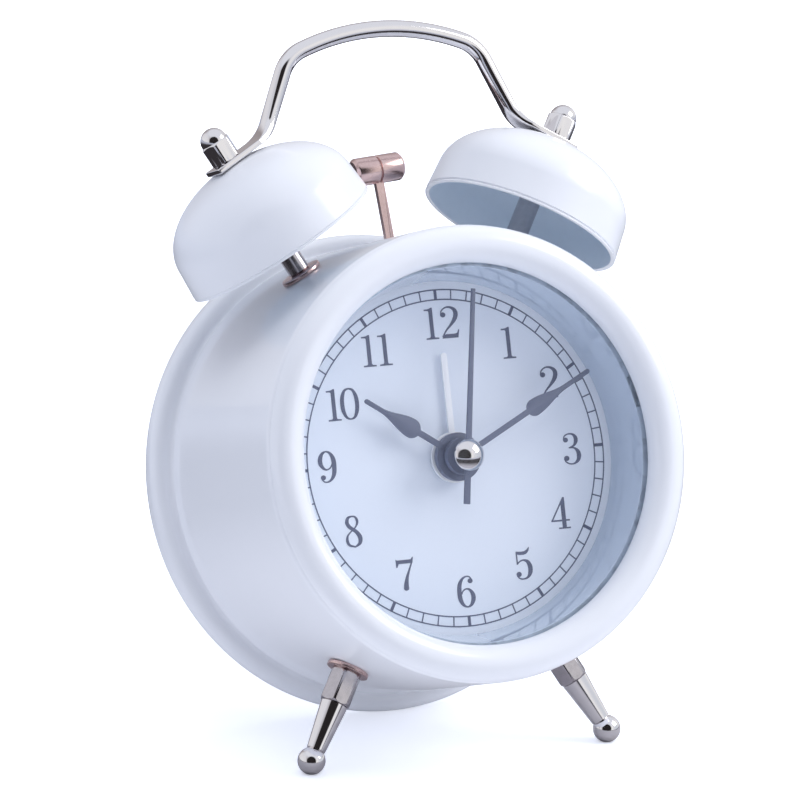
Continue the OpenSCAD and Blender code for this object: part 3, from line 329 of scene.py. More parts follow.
def plate(outlines, low, high, shape=None):
    """Flat solid over the union of some outlines."""
    points, loops = [], []
    for outline in outlines:
        area = sum(a[0] * b[1] - b[0] * a[1] for a, b in zip(outline, outline[1:] + outline[:1]))
        ordered = outline if area > 0 else outline[::-1]
        loops.append(list(range(len(points), len(points) + len(ordered))))
        points.extend(Vector((p[0], p[1])) for p in ordered)
    spots, _, faces, _, _, sources = delaunay_2d_cdt(points, [], loops, 1, 1e-9)
    shape = shape or bmesh.new()
    corners = [shape.verts.new((p.x, p.y, low)) for p in spots]
    flat = [shape.faces.new([corners[i] for i in face]) for face, source in zip(faces, sources) if source]
    raised = bmesh.ops.extrude_face_region(shape, geom=flat)["geom"]
    lifted = [item for item in raised if isinstance(item, bmesh.types.BMVert)]
    bmesh.ops.translate(shape, verts=lifted, vec=(0.0, 0.0, high - low))
    bmesh.ops.delete(shape, geom=[v for v in shape.verts if not v.link_faces], context="VERTS")
    return shape


def linked(name, data):
    """Object of some data, in the scene."""
    made = bpy.data.objects.new(name, data)
    bpy.context.scene.collection.objects.link(made)
    return made


def outward(shape):
    """Shape with its faces turned to look out."""
    bmesh.ops.recalc_face_normals(shape, faces=shape.faces)
    return shape


def baked(name, shape):
    """Mesh of a shape, which is freed."""
    mesh = bpy.data.meshes.new(name)
    shape.to_mesh(mesh)
    shape.free()
    return mesh


def merge(target, source, place):
    """Adds a shape to another at its place and frees it."""
    bmesh.ops.transform(source, matrix=place, verts=source.verts)
    mesh = baked("part", source)
    target.from_mesh(mesh)
    bpy.data.meshes.remove(mesh)


def put(name, mesh, material, body, stands_for):
    """Makes an object of a finished mesh and ties it to the frame."""
    mesh.materials.clear()
    mesh.materials.append(material)
    mesh.shade_smooth()
    mesh.set_sharp_from_angle(angle=math.radians(32))
    made = linked(name, mesh)
    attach(made, body)
    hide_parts(*stands_for)
    return made


def piece(name, shape, place, slot, body, *stands_for):
    """Makes an object of a shape that is moved to its place in the row frame."""
    mesh = baked(name, outward(shape))
    mesh.transform(place)
    return put(name, mesh, finish(slot), body, stands_for)


def worked(mesh, change):
    """Plain mesh of a mesh after a modifier that change adds to its object."""
    host = linked("host", mesh)
    change(host)
    bpy.context.view_layer.update()
    graph = bpy.context.evaluated_depsgraph_get()
    result = bpy.data.meshes.new_from_object(host.evaluated_get(graph), depsgraph=graph)
    bpy.data.objects.remove(host)
    return result


def cut(mesh, box):
    """Mesh with a box taken away, which is a unit cube under the matrix."""
    tool = bmesh.new()
    bmesh.ops.create_cube(tool, size=1.0, matrix=box)
    cutter = linked("tool", baked("tool", tool))

    def take_away(host):
        hole = host.modifiers.new("Cut", "BOOLEAN")
        hole.operation = "DIFFERENCE"
        hole.solver = "EXACT"
        hole.object = cutter

    result = worked(mesh, take_away)
    bpy.data.objects.remove(cutter)
    return result


def softened(name, node, width, slot):
    """Copy of a CAD piece with its loose triangles joined and its edges rounded."""
    shape = bmesh.new()
    shape.from_mesh(NODES[node].data)
    bmesh.ops.remove_doubles(shape, verts=shape.verts, dist=1e-6)
    bmesh.ops.dissolve_limit(shape, angle_limit=math.radians(0.5), verts=shape.verts, edges=shape.edges)

    def bevel(host):
        rounding = host.modifiers.new("Round", "BEVEL")
        rounding.width = width
        rounding.segments = 3
        rounding.limit_method = "ANGLE"
        rounding.angle_limit = math.radians(40)

    result = worked(baked(name, shape), bevel)
    result.name = name
    return put(name, result, finish(slot), BODY_OF[node], [node])


# Node trees

MATH = "ShaderNodeMath"


def add(tree, kind, settings=None, inputs=None):
    """Adds a node, sets its properties and fills or links its inputs."""
    made = tree.nodes.new(kind)
    for name, value in (settings or {}).items():
        setattr(made, name, value)
    for name, value in (inputs or {}).items():
        if isinstance(value, bpy.types.NodeSocket):
            tree.links.new(value, made.inputs[name])
        else:
            made.inputs[name].default_value = value
    return made


def new_tree(name, sockets):
    """Geometry node group with named inputs and one geometry output."""
    tree = bpy.data.node_groups.new(name, "GeometryNodeTree")
    for label, kind in sockets.items():
        tree.interface.new_socket(name=label, in_out="INPUT", socket_type=kind)
    tree.interface.new_socket(name="Geometry", in_out="OUTPUT", socket_type="NodeSocketGeometry")
    return tree


def grown(tree, values):
    """Plain mesh that a geometry node group makes from its inputs."""
    def fill(host):
        modifier = host.modifiers.new("Grow", "NODES")
        modifier.node_group = tree
        for item in tree.interface.items_tree:
            if item.in_out == "INPUT":
                modifier[item.identifier] = values[item.name]

    return worked(bpy.data.meshes.new(tree.name), fill)


def track_tree(material):
    """Two printed circles with sixty ticks between them, every fifth one wide."""
    lengths = ("Outer Radius", "Track Width", "Line Width", "Hour Line Width", "Ink Height")
    sockets = {"Ticks": "NodeSocketInt", **{name: "NodeSocketFloat" for name in lengths}}
    tree = new_tree("Minute Track", sockets)
    given = add(tree, "NodeGroupInput").outputs
    at = {name: given[name] for name in sockets}
    at["index"] = add(tree, "GeometryNodeInputIndex").outputs[0]
    sums = (
        ("half track", "MULTIPLY", "Track Width", 0.5),
        ("middle", "SUBTRACT", "Outer Radius", "half track"),
        ("inner", "SUBTRACT", "Outer Radius", "Track Width"),
        ("half line", "MULTIPLY", "Line Width", 0.5),
        ("sunk", "MULTIPLY", "Ink Height", -0.5),
        ("step", "DIVIDE", 2 * math.pi, "Ticks"),
        ("angle", "MULTIPLY", "index", "step"),
        ("past hour", "MODULO", "index", 5.0),
        ("hour", "LESS_THAN", "past hour", 0.5),
        ("swell", "DIVIDE", "Hour Line Width", "Line Width"),
        ("extra", "SUBTRACT", "swell", 1.0),
        ("wide", "MULTIPLY_ADD", "hour", "extra", 1.0),
    )
    for name, operation, *values in sums:
        inputs = {i: at.get(value, value) for i, value in enumerate(values)}
        at[name] = add(tree, MATH, {"operation": operation}, inputs).outputs[0]

    size = add(tree, "ShaderNodeCombineXYZ", None, {
        "X": at["Track Width"], "Y": at["Line Width"], "Z": at["Ink Height"]
    }).outputs[0]
    tick = add(tree, "GeometryNodeMeshCube", None, {"Size": size}).outputs["Mesh"]
    ring = add(tree, "GeometryNodeMeshCircle", None, {"Vertices": at["Ticks"], "Radius": at["middle"]})
    ticks = add(tree, "GeometryNodeInstanceOnPoints", None, {
        "Points": ring.outputs[0],
        "Instance": tick,
        "Rotation": add(tree, "ShaderNodeCombineXYZ", None, {"Z": at["angle"]}).outputs[0],
        "Scale": add(tree, "ShaderNodeCombineXYZ", None, {"X": 1.0, "Y": at["wide"], "Z": 1.0}).outputs[0],
    }).outputs[0]
    joined = add(tree, "GeometryNodeJoinGeometry")
    tree.links.new(ticks, joined.inputs[0])
    sink = add(tree, "ShaderNodeCombineXYZ", None, {"Z": at["sunk"]}).outputs[0]
    for radius in (at["Outer Radius"], at["inner"]):
        edges = add(tree, "GeometryNodeJoinGeometry")
        for side in ("ADD", "SUBTRACT"):
            reach = add(tree, MATH, {"operation": side}, {0: radius, 1: at["half line"]}).outputs[0]
            circle = add(tree, "GeometryNodeCurvePrimitiveCircle", None, {"Resolution": 240, "Radius": reach})
            tree.links.new(circle.outputs["Curve"], edges.inputs[0])
        filled = add(tree, "GeometryNodeFillCurve", None, {"Curve": edges.outputs[0]}).outputs[0]
        raised = add(tree, "GeometryNodeExtrudeMesh", None, {
            "Mesh": filled, "Offset Scale": at["Ink Height"], "Individual": False
        }).outputs["Mesh"]
        lowered = add(tree, "GeometryNodeTransform", None, {"Geometry": raised, "Translation": sink})
        tree.links.new(lowered.outputs[0], joined.inputs[0])
    real = add(tree, "GeometryNodeRealizeInstances", None, {"Geometry": joined.outputs[0]}).outputs[0]
    inked = add(tree, "GeometryNodeSetMaterial", None, {"Geometry": real, "Material": material}).outputs[0]
    add(tree, "NodeGroupOutput", None, {"Geometry": inked})
    return tree


def array_tree(material):
    """Copies of one piece set round a circle, each turned to face out."""
    tree = new_tree("Round Array", {
        "Piece": "NodeSocketObject", "Count": "NodeSocketInt",
        "Radius": "NodeSocketFloat", "Start": "NodeSocketFloat",
    })
    given = add(tree, "NodeGroupInput").outputs
    ring = add(tree, "GeometryNodeMeshCircle", None, {"Vertices": given["Count"], "Radius": given["Radius"]})
    index = add(tree, "GeometryNodeInputIndex").outputs[0]
    step = add(tree, MATH, {"operation": "DIVIDE"}, {0: 2 * math.pi, 1: given["Count"]}).outputs[0]
    angle = add(tree, MATH, {"operation": "MULTIPLY"}, {0: index, 1: step}).outputs[0]
    source = add(tree, "GeometryNodeObjectInfo", None, {"Object": given["Piece"]}).outputs["Geometry"]
    copies = add(tree, "GeometryNodeInstanceOnPoints", None, {
        "Points": ring.outputs[0], "Instance": source,
        "Rotation": add(tree, "ShaderNodeCombineXYZ", None, {"Z": angle}).outputs[0],
    }).outputs[0]
    turned = add(tree, "GeometryNodeTransform", None, {
        "Geometry": copies,
        "Rotation": add(tree, "ShaderNodeCombineXYZ", None, {"Z": given["Start"]}).outputs[0],
    }).outputs[0]
    real = add(tree, "GeometryNodeRealizeInstances", None, {"Geometry": turned}).outputs[0]
    painted = add(tree, "GeometryNodeSetMaterial", None, {"Geometry": real, "Material": material}).outputs[0]
    add(tree, "NodeGroupOutput", None, {"Geometry": painted})
    return tree


def arrayed(shape, slot, count, radius, start):
    """Mesh of a shape repeated round a circle."""
    single = linked("single", baked("single", outward(shape)))
    values = {"Piece": single, "Count": count, "Radius": radius, "Start": start}
    result = grown(array_tree(finish(slot)), values)
    bpy.data.objects.remove(single)
    return result


# Materials

def surface(name, base, other, metallic, rough, grain, relief, stretch=(1.0, 1.0, 1.0), coat=0.0):
    """Principled surface whose colour, roughness and relief vary with a grain in millimetres."""
    material = bpy.data.materials.new(name)
    material.use_nodes = True
    tree = material.node_tree
    tree.nodes.clear()
    where = add(tree, "ShaderNodeTexCoord").outputs["Object"]
    scaled = add(tree, "ShaderNodeMapping", None, {
        "Vector": where, "Scale": [s / (grain * MM) for s in stretch]
    }).outputs[0]
    noise = add(tree, "ShaderNodeTexNoise", None, {
        "Vector": scaled, "Scale": 1.0, "Detail": 4.0, "Roughness": 0.55
    }).outputs["Fac"]
    mixed = add(tree, "ShaderNodeMix", {"data_type": "RGBA"}, {0: noise, 6: base, 7: other}).outputs[2]
    roughness = add(tree, "ShaderNodeMapRange", None, {
        "Value": noise, "From Min": 0.3, "From Max": 0.7, "To Min": rough[0], "To Max": rough[1]
    }).outputs[0]
    bump = add(tree, "ShaderNodeBump", None, {"Strength": 0.25, "Distance": relief * MM, "Height": noise})
    shader = add(tree, "ShaderNodeBsdfPrincipled", None, {
        "Base Color": mixed, "Roughness": roughness, "Metallic": metallic, "Normal": bump.outputs[0],
        "Coat Weight": coat, "Coat Roughness": 0.04,
    })
    add(tree, "ShaderNodeOutputMaterial", None, {"Surface": shader.outputs[0]})
    return material


def tinted(base, factor):
    """Colour with its channels times a factor."""
    return [min(1.0, c * factor) for c in base[:3]] + [1.0]


# Gloss moulded plastic: a clean white with a soft shine and a trace of orange peel
def white_abs():
    base = colours().white
    return surface("gloss white plastic", base, tinted(base, 0.985), 0.0, (0.3, 0.36), 9.0, 0.01, coat=0.6)


# Stove enamel on steel: the same white with a deeper gloss
def white_enamel():
    base = colours().white
    return surface("stove enamel", base, tinted(base, 0.985), 0.0, (0.3, 0.36), 6.0, 0.01, coat=0.35)


# Inside of the bells: painted shade, a flat white bluer than the enamel outside
def enamel_primer():
    base = linear("#DEEBF7")
    return surface("bell inside painted shade", base, tinted(base, 0.95), 0.0, (0.5, 0.6), 2.0, 0.02)


# Bright chrome: a mirror with the faintest haze
def chrome_plate():
    base = colours().chrome
    return surface("bright chrome", base, tinted(base, 0.95), 1.0, (0.05, 0.11), 4.0, 0.004)


# Nickel dulled by handling: grey patches in a satin shine
def worn_nickel():
    base = colours().nickel
    return surface("handled nickel", base, tinted(base, 0.8), 1.0, (0.1, 0.24), 1.1, 0.012)


# Nickel worn thin over copper: a pink cast along the satin
def rose_nickel():
    base = colours().rose
    return surface("rosy nickel", base, linear("#D0B1AD"), 1.0, (0.2, 0.28), 0.5, 0.004)


# Printed card under lacquer: pale blue-white with a paper tooth
def dial_card():
    base = colours().dial
    return surface("printed card", base, tinted(base, 0.98), 0.0, (0.5, 0.6), 0.35, 0.006)


# Screen ink: soft grey, a little uneven
def grey_ink():
    base = colours().ink
    return surface("screen ink", base, tinted(base, 0.88), 0.0, (0.45, 0.6), 0.2, 0.004)


# Lacquered hands: dark grey with a quiet sheen
def grey_hand():
    base = colours().hands
    return surface("grey lacquer", base, tinted(base, 0.9), 0.0, (0.35, 0.45), 0.5, 0.003)


# White lacquer on the alarm hand
def white_hand():
    base = colours().alarm
    return surface("white lacquer", base, tinted(base, 0.99), 0.0, (0.15, 0.2), 0.5, 0.003, coat=0.6)


# Polished grey ring that mirrors the track softly
def grey_ring():
    base = colours().ring
    return surface("polished ring", base, tinted(base, 0.96), 0.0, (0.03, 0.05), 5.0, 0.003, coat=1.0)


# Lacquered brass of the movement
def plate_brass():
    base = colours().brass
    other = tinted(base, 0.85)
    return surface("lacquered brass", base, other, 1.0, (0.22, 0.34), 0.7, 0.006, stretch=(1, 8, 8))


# Zinc-plated steel with a faint mottle
def zinc_steel():
    return surface("zinc plate", linear("#B4B7BC"), linear("#94989E"), 1.0, (0.22, 0.38), 0.8, 0.008)


# Annealed core iron, dark and dull
def core_iron():
    return surface("annealed iron", linear("#6C6E72"), linear("#55575B"), 1.0, (0.35, 0.5), 0.6, 0.01)


# Enamelled copper wire with its turns showing as fine ridges
def copper_wire():
    base, other = linear("#C0703C"), linear("#9C5428")
    return surface("enamelled copper", base, other, 0.9, (0.25, 0.4), 0.3, 0.04, stretch=(1, 6, 1))


# Solder mask on the board
def board_green():
    return surface("solder mask", linear("#2C6E46"), linear("#235A39"), 0.0, (0.3, 0.42), 0.8, 0.006)


# Natural acetal wheels
def wheel_acetal():
    return surface("natural acetal", linear("#EEEBDD"), linear("#E2DFD0"), 0.0, (0.32, 0.42), 1.0, 0.004)


# Grey moulded plastic with a fine spark texture
def grey_abs():
    base = colours().switch
    return surface("spark-textured plastic", base, tinted(base, 0.92), 0.0, (0.42, 0.55), 0.25, 0.02)


# Printed sleeve of the battery cell
def cell_jacket():
    return surface("printed sleeve", linear("#3C3F45"), linear("#33363B"), 0.2, (0.28, 0.36), 3.0, 0.004)


# Clear acrylic: nearly all light passes and a little is mirrored
def clear_lens():
    material = bpy.data.materials.new("clear acrylic")
    material.use_nodes = True
    shader = material.node_tree.nodes["Principled BSDF"]
    shader.inputs["Base Color"].default_value = linear("#F4F8FF")
    shader.inputs["Metallic"].default_value = 1.0
    shader.inputs["Roughness"].default_value = 0.03
    shader.inputs["Alpha"].default_value = 0.015
    return material


# White card on a light table: an even white with a faint glow and a dark ring that only metal mirrors
def studio_floor():
    material = surface("lit card", linear("#F7F8FB"), linear("#F3F4F8"), 0.0, (0.5, 0.6), 40.0, 0.01)
    tree = material.node_tree
    shader = tree.nodes["Principled BSDF"]
    shader.inputs["Emission Color"].default_value = linear("#F1F5FF")
    path = add(tree, "ShaderNodeLightPath").outputs
    where = add(tree, "ShaderNodeTexCoord").outputs["Object"]
    reach = add(tree, "ShaderNodeVectorMath", {"operation": "LENGTH"}, {0: where}).outputs["Value"]
    fade = add(tree, "ShaderNodeMapRange", None, {
        "Value": reach, "From Min": 0.2, "From Max": 0.6, "To Min": 0.48, "To Max": 1.0
    })
    glow = add(tree, "ShaderNodeMapRange", None, {
        "Value": path["Is Camera Ray"], "To Min": 0.18, "To Max": fade.outputs[0]
    })
    tree.links.new(glow.outputs[0], shader.inputs["Emission Strength"])
    shade = add(tree, "ShaderNodeValToRGB", None, {"Fac": reach})
    stops = shade.color_ramp.elements
    stops[0].position, stops[0].color = 0.07, linear("#BEBBBE")
    stops[1].position, stops[1].color = 0.8, linear("#D9DAE0")
    for position in (0.14, 0.35):
        stops.new(position).color = linear("#393536")
    dull = add(tree, "ShaderNodeBsdfDiffuse", None, {"Color": shade.outputs[0]})
    both = add(tree, "ShaderNodeMixShader", None, {
        0: path["Is Glossy Ray"], 1: shader.outputs[0], 2: dull.outputs[0]
    })
    tree.links.new(both.outputs[0], tree.nodes["Material Output"].inputs["Surface"])
    return material


FINISHES = {make.__name__: make for make in (
    white_abs, white_enamel, enamel_primer, chrome_plate, worn_nickel, rose_nickel, clear_lens, grey_ring,
    dial_card, grey_ink, grey_hand, white_hand, plate_brass, zinc_steel, core_iron, copper_wire, board_green,
    wheel_acetal, grey_abs, cell_jacket,
)}


@functools.cache
def finish(slot):
    """Material of a slot, made once."""
    return FINISHES[slot]()


# Numerals, drawn on a height of one hundred about their own middle line

STROKES = {
    "0": [[(0, 97.7, 4.6), (-14, 92, 8), (-23, 73, 12.5), (-25.5, 50, 13.5), (-23, 27, 12.5), (-14, 8, 8),
           (0, 2.3, 4.6), (14, 8, 8), (23, 27, 12.5), (25.5, 50, 13.5), (23, 73, 12.5), (14, 92, 8),
           (0, 97.7, 4.6)]],
    "2": [[(-25.5, 74, 3), (-21.5, 88, 4), (-8, 97.3, 4.6), (7, 96.3, 7), (18.5, 87.5, 11.5),
           (21.5, 74, 13.5), (16, 58, 12), (3, 41, 7.5), (-12, 25, 5), (-25, 5, 4)]],
    "3": [[(-22.5, 80, 3), (-18, 92, 4), (-5, 97.6, 4.4), (8, 94.8, 7), (15.5, 85, 11.5), (15.5, 72, 11.5),
           (8, 59.5, 6), (-6, 53.5, 3.6)],
          [(-8, 53.8, 3.6), (8, 52, 5), (18.5, 42, 11), (21.5, 27, 13.5), (16.5, 11.5, 10), (4, 2.6, 5),
           (-10, 3, 4.2), (-21, 10, 4), (-25.5, 20, 3)]],
    "4": [[(14.5, 97.5, 5), (-7, 62.5, 4.6), (-28.5, 27, 4.6)]],
    "5": [[(-20, 86, 9), (-6, 83.8, 10.5), (8, 85, 10.5), (17, 92, 7), (22, 101.5, 1.5)],
          [(-19, 50, 3.4), (-10, 58.5, 4.2), (2, 61.5, 5.5), (14.5, 55, 11), (20.5, 38, 14), (18.5, 20, 12.5),
           (10, 6.8, 7), (-3, 2.4, 4.6), (-15, 5, 4.2), (-22.5, 14, 3.5)]],
    "6": [[(21, 85, 3), (13.5, 95.5, 4), (3, 97.6, 4.5), (-9, 91, 7.5), (-18.5, 74, 12), (-21.5, 50, 13.5),
           (-20, 26, 13), (-12, 9, 8.5), (0, 2.4, 4.8), (12, 8.5, 9), (19.5, 24, 13), (19.5, 40, 12.5),
           (12, 54, 8), (2, 59, 4.6), (-9, 54, 4), (-16, 42, 3.6)]],
    "7": [[(23.5, 91, 4), (14, 66, 5), (6, 44, 8), (1.5, 24, 12), (0, 8, 14.6)]],
    "8": [[(0, 97.7, 4.5), (-11, 93.5, 8), (-16, 80, 11), (-11, 67, 11), (0, 57, 10.5), (12, 46, 11.5),
           (20, 30, 13), (17.5, 12.5, 10), (4, 2.5, 4.8), (-2, 2.4, 4.5)],
          [(2, 2.4, 4.6), (-14, 8, 7.5), (-20, 22, 8.5), (-17, 38, 5.5), (-6, 50, 4), (6, 60, 4),
           (14, 72, 6), (15.5, 84, 7.5), (10, 95, 5.5), (0, 97.7, 4.5)]],
}
DOTS = {
    "2": [(-18.5, 74.5, 8)], "3": [(-16, 79, 7.6), (-18, 20.5, 8.2)], "5": [(-16.5, 18, 8)],
    "6": [(15, 83, 7.6)], "7": [(0, 7.4, 7.4)],
}
FILLS = {
    "1": [[(-23, 0), (23, 0), (23, 4.2), (9.5, 5.5), (6.8, 9), (6.8, 100), (2, 100), (-5, 96.8), (-13, 95.5),
           (-23, 95.5), (-23, 91), (-10, 90.5), (-6.8, 88), (-6.8, 9), (-9.5, 5.5), (-23, 4.2)]],
    "2": [[(-27, 0), (23, 0), (28, 25), (25, 25.5), (20.5, 15), (14, 12.8), (-14, 12.8), (-22, 10)]],
    "4": [[(-31, 24), (31, 24), (31, 29), (-31, 29)],
          [(5, 0), (18.6, 0), (18.6, 100), (13, 100), (5, 86)],
          [(-8, 0), (32, 0), (32, 4.4), (-8, 4.4)]],
    "5": [[(-20.8, 90), (-16.6, 82), (-16.6, 52), (-20.6, 48.5)]],
    "7": [[(-23.5, 99), (-19, 96.5), (20, 97), (25, 104), (27.5, 103.5), (24, 85), (-15.5, 85), (-20, 74),
           (-23.5, 74)]],
}
STRETCH = {"0": 1.0, "1": 0.96, "4": 1.05, "7": 1.2}
COMMON_STRETCH = 1.12
ADVANCE = {"0": 54, "1": 56, "2": 70}
# How far a numeral stands off its hour, in millimetres
NUDGES = {
    1: (1.6, -1.2), 3: (-0.2, -0.3), 4: (-0.7, 0.4), 5: (-0.2, 0.8), 7: (0.4, 0.9), 8: (-0.1, 0.6),
    9: (-0.6, 0.4), 10: (0.3, -0.9), 11: (-0.6, -0.6), 12: (0.5, 0.2),
}


def through(knots, steps=7):
    """Smooth line through knots, each span cut into steps."""
    line = [Vector(knot) for knot in knots]
    line = [2 * line[0] - line[1]] + line + [2 * line[-1] - line[-2]]
    points = []
    for a, b, c, d in zip(line, line[1:], line[2:], line[3:]):
        for i in range(steps):
            t = i / steps
            square = (2 * a - 5 * b + 4 * c - d) * t * t
            cube = (3 * b - a - 3 * c + d) * t ** 3
            points.append((2 * b + (c - a) * t + square + cube) / 2)
    return points + [line[-2]]


def stroke(knots):
    """Outlines of a pen stroke through knots of x, y and width, one for each step."""
    line = through(knots)
    left, right = [], []
    for before, here, after in zip(line[:1] + line[:-1], line, line[1:] + line[-1:]):
        side = Vector((before.y - after.y, after.x - before.x)).normalized() * here.z / 2
        left.append(here.xy + side)
        right.append(here.xy - side)
    return [[left[i], right[i], right[i + 1], left[i + 1]] for i in range(len(line) - 1)]


def glyph(digit):
    """Outlines of one digit."""
    if digit == "9":
        return [[(-p[0], 100 - p[1]) for p in outline] for outline in glyph("6")]
    outlines = [part for knots in STROKES.get(digit, []) for part in stroke(knots)]
    outlines += [arc(dot[:2], dot[2], 0, 352.5, 47) for dot in DOTS.get(digit, [])]
    return outlines + FILLS.get(digit, [])


def numeral(text, middle, height):
    """Outlines of a whole numeral set about a middle point."""
    scale = height / 100
    pitch = sum(ADVANCE[digit] for digit in text) / 2 if len(text) > 1 else 0
    outlines = []
    for place, digit in enumerate(text):
        shift = pitch * (place - (len(text) - 1) / 2)
        wide = STRETCH.get(digit, COMMON_STRETCH)
        for outline in glyph(digit):
            outlines.append([
                (middle[0] + (p[0] * wide + shift) * scale, middle[1] + (p[1] - 50) * scale) for p in outline
            ])
    return outlines


# Operators

class CLOCK_OT_case(bpy.types.Operator):
    """Turn the drum with its rounded rim and cut the slot of the hammer"""
    bl_idname = "clock.case"
    bl_label = "Case"

    def execute(self, context):
        s = sizes()
        bore = s.drum_r - s.wall
        rear = (s.drum_r + s.rim_over - s.rim_round, s.rim_round - s.case_depth)
        front = (s.drum_r + s.rim_over - s.rim_soft, rear[1] + s.rim_flat)
        reach = s.rim_soft + s.cove_r
        lean = math.degrees(math.acos(1 - (s.rim_over + s.cove_dip) / reach))
        start = 180 - math.degrees(math.acos(1 - s.cove_dip / s.cove_r))
        cove = (s.drum_r + s.cove_r - s.cove_dip, front[1] + reach * math.sin(math.radians(lean)))
        seat = s.cover_inset + s.cover_t - s.case_depth
        lip, ledge, ledge_t = 0.3 * MM, 1.4 * MM, 2 * MM
        profile = [(bore, s.lead)]
        profile += arc((s.drum_r - s.edge, s.lead - s.edge), s.edge, 90, 0, 8)
        profile += arc(cove, s.cove_r, start, 180 + lean, 20)
        profile += arc(front, s.rim_soft, lean, 0, 16)
        profile += arc(rear, s.rim_round, 0, -90, 24)
        profile += arc((bore + lip, lip - s.case_depth), lip, 270, 180, 4)
        profile += [(bore, seat), (bore - ledge, seat)]
        profile += [(bore - ledge, seat + ledge_t), (bore, seat + ledge_t)]
        slot_x = s.hammer_reach * math.tan(s.arm_lean)
        drum = cut(baked("drum_shell", outward(lathe(profile, s.round_sides))), (
            Matrix.Translation((slot_x, s.drum_r, -s.hammer_depth))
            @ Matrix.Diagonal((2 * s.slot_half, 4 * s.wall, s.slot_w, 1.0))
        ))
        drum.name = "drum_shell"
        drum.transform(clock_place())
        put("drum_shell", drum, finish("white_abs"), "case", ["case_drum"])
        return {"FINISHED"}


class CLOCK_OT_front(bpy.types.Operator):
    """Turn the bezel, the lens and the sloping ring"""
    bl_idname = "clock.front"
    bl_label = "Front"

    def execute(self, context):
        s = sizes()
        place = clock_place()
        middle = s.drum_r - s.bezel_step - s.bead
        lip = middle - s.bead
        lens_r = lip + s.lens_lap
        bore = s.drum_r - s.wall
        start = math.degrees(math.asin(s.lead / s.bead))
        end = 180 + math.degrees(math.asin(s.lens_seat / s.bead))
        sleeve = s.lens_seat + 4.5 * MM
        profile = arc((middle, 0.0), s.bead, start, end, 72)
        profile += [(lens_r + FIT, -s.lens_seat), (lens_r + FIT, -sleeve), (bore - FIT, -sleeve),
                    (bore - FIT, s.lead)]
        piece("bezel_bead", lathe(profile, s.round_sides), place, "white_abs", "case", "front_bezel")
        soft = 0.15 * MM
        front, rear = -s.lens_seat, -s.lens_seat - s.lens_t
        profile = [(0.0, front), (lens_r - soft, front), (lens_r, front - soft),
                   (lens_r, rear + soft), (lens_r - soft, rear), (0.0, rear)]
        piece("lens_disc", lathe(profile, s.round_sides, loop=False), place, "clear_lens", "case", "lens")
        profile = [(lip - s.ring_lip + soft, rear), (lens_r, rear), (lens_r, -s.dial_depth),
                   (lip - s.ring_draw, -s.dial_depth), (lip - s.ring_lip, rear - soft)]
        piece("sloping_ring", lathe(profile, s.round_sides), place, "grey_ring", "case", "dial_ring")
        return {"FINISHED"}


class CLOCK_OT_dial(bpy.types.Operator):
    """Print the minute track and the numerals on the dial"""
    bl_idname = "clock.dial"
    bl_label = "Dial"

    def execute(self, context):
        s = sizes()
        place = clock_place()
        edge = s.drum_r - s.bezel_step - 2 * s.bead - s.ring_draw
        track = grown(track_tree(finish("grey_ink")), {
            "Ticks": 60, "Outer Radius": edge - s.track_inset, "Track Width": s.track_w,
            "Line Width": s.line_w, "Hour Line Width": s.hour_line_w, "Ink Height": s.ink_t,
        })
        track.name = "printed_track"
        track.transform(place @ Matrix.Translation((0.0, 0.0, s.ink_t / 2 - s.dial_depth)))
        put("printed_track", track, finish("grey_ink"), "case", ["minute_track"])
        shape = bmesh.new()
        for hour in range(1, 13):
            nudge = Vector(NUDGES.get(hour, (0.0, 0.0))) * MM
            middle = heading(math.radians(30 * hour)) * s.numeral_r + nudge
            plate(numeral(str(hour), middle, s.numeral_h), -s.dial_depth, s.ink_t - s.dial_depth, shape)
        piece("printed_numerals", shape, place, "grey_ink", "case")
        return {"FINISHED"}


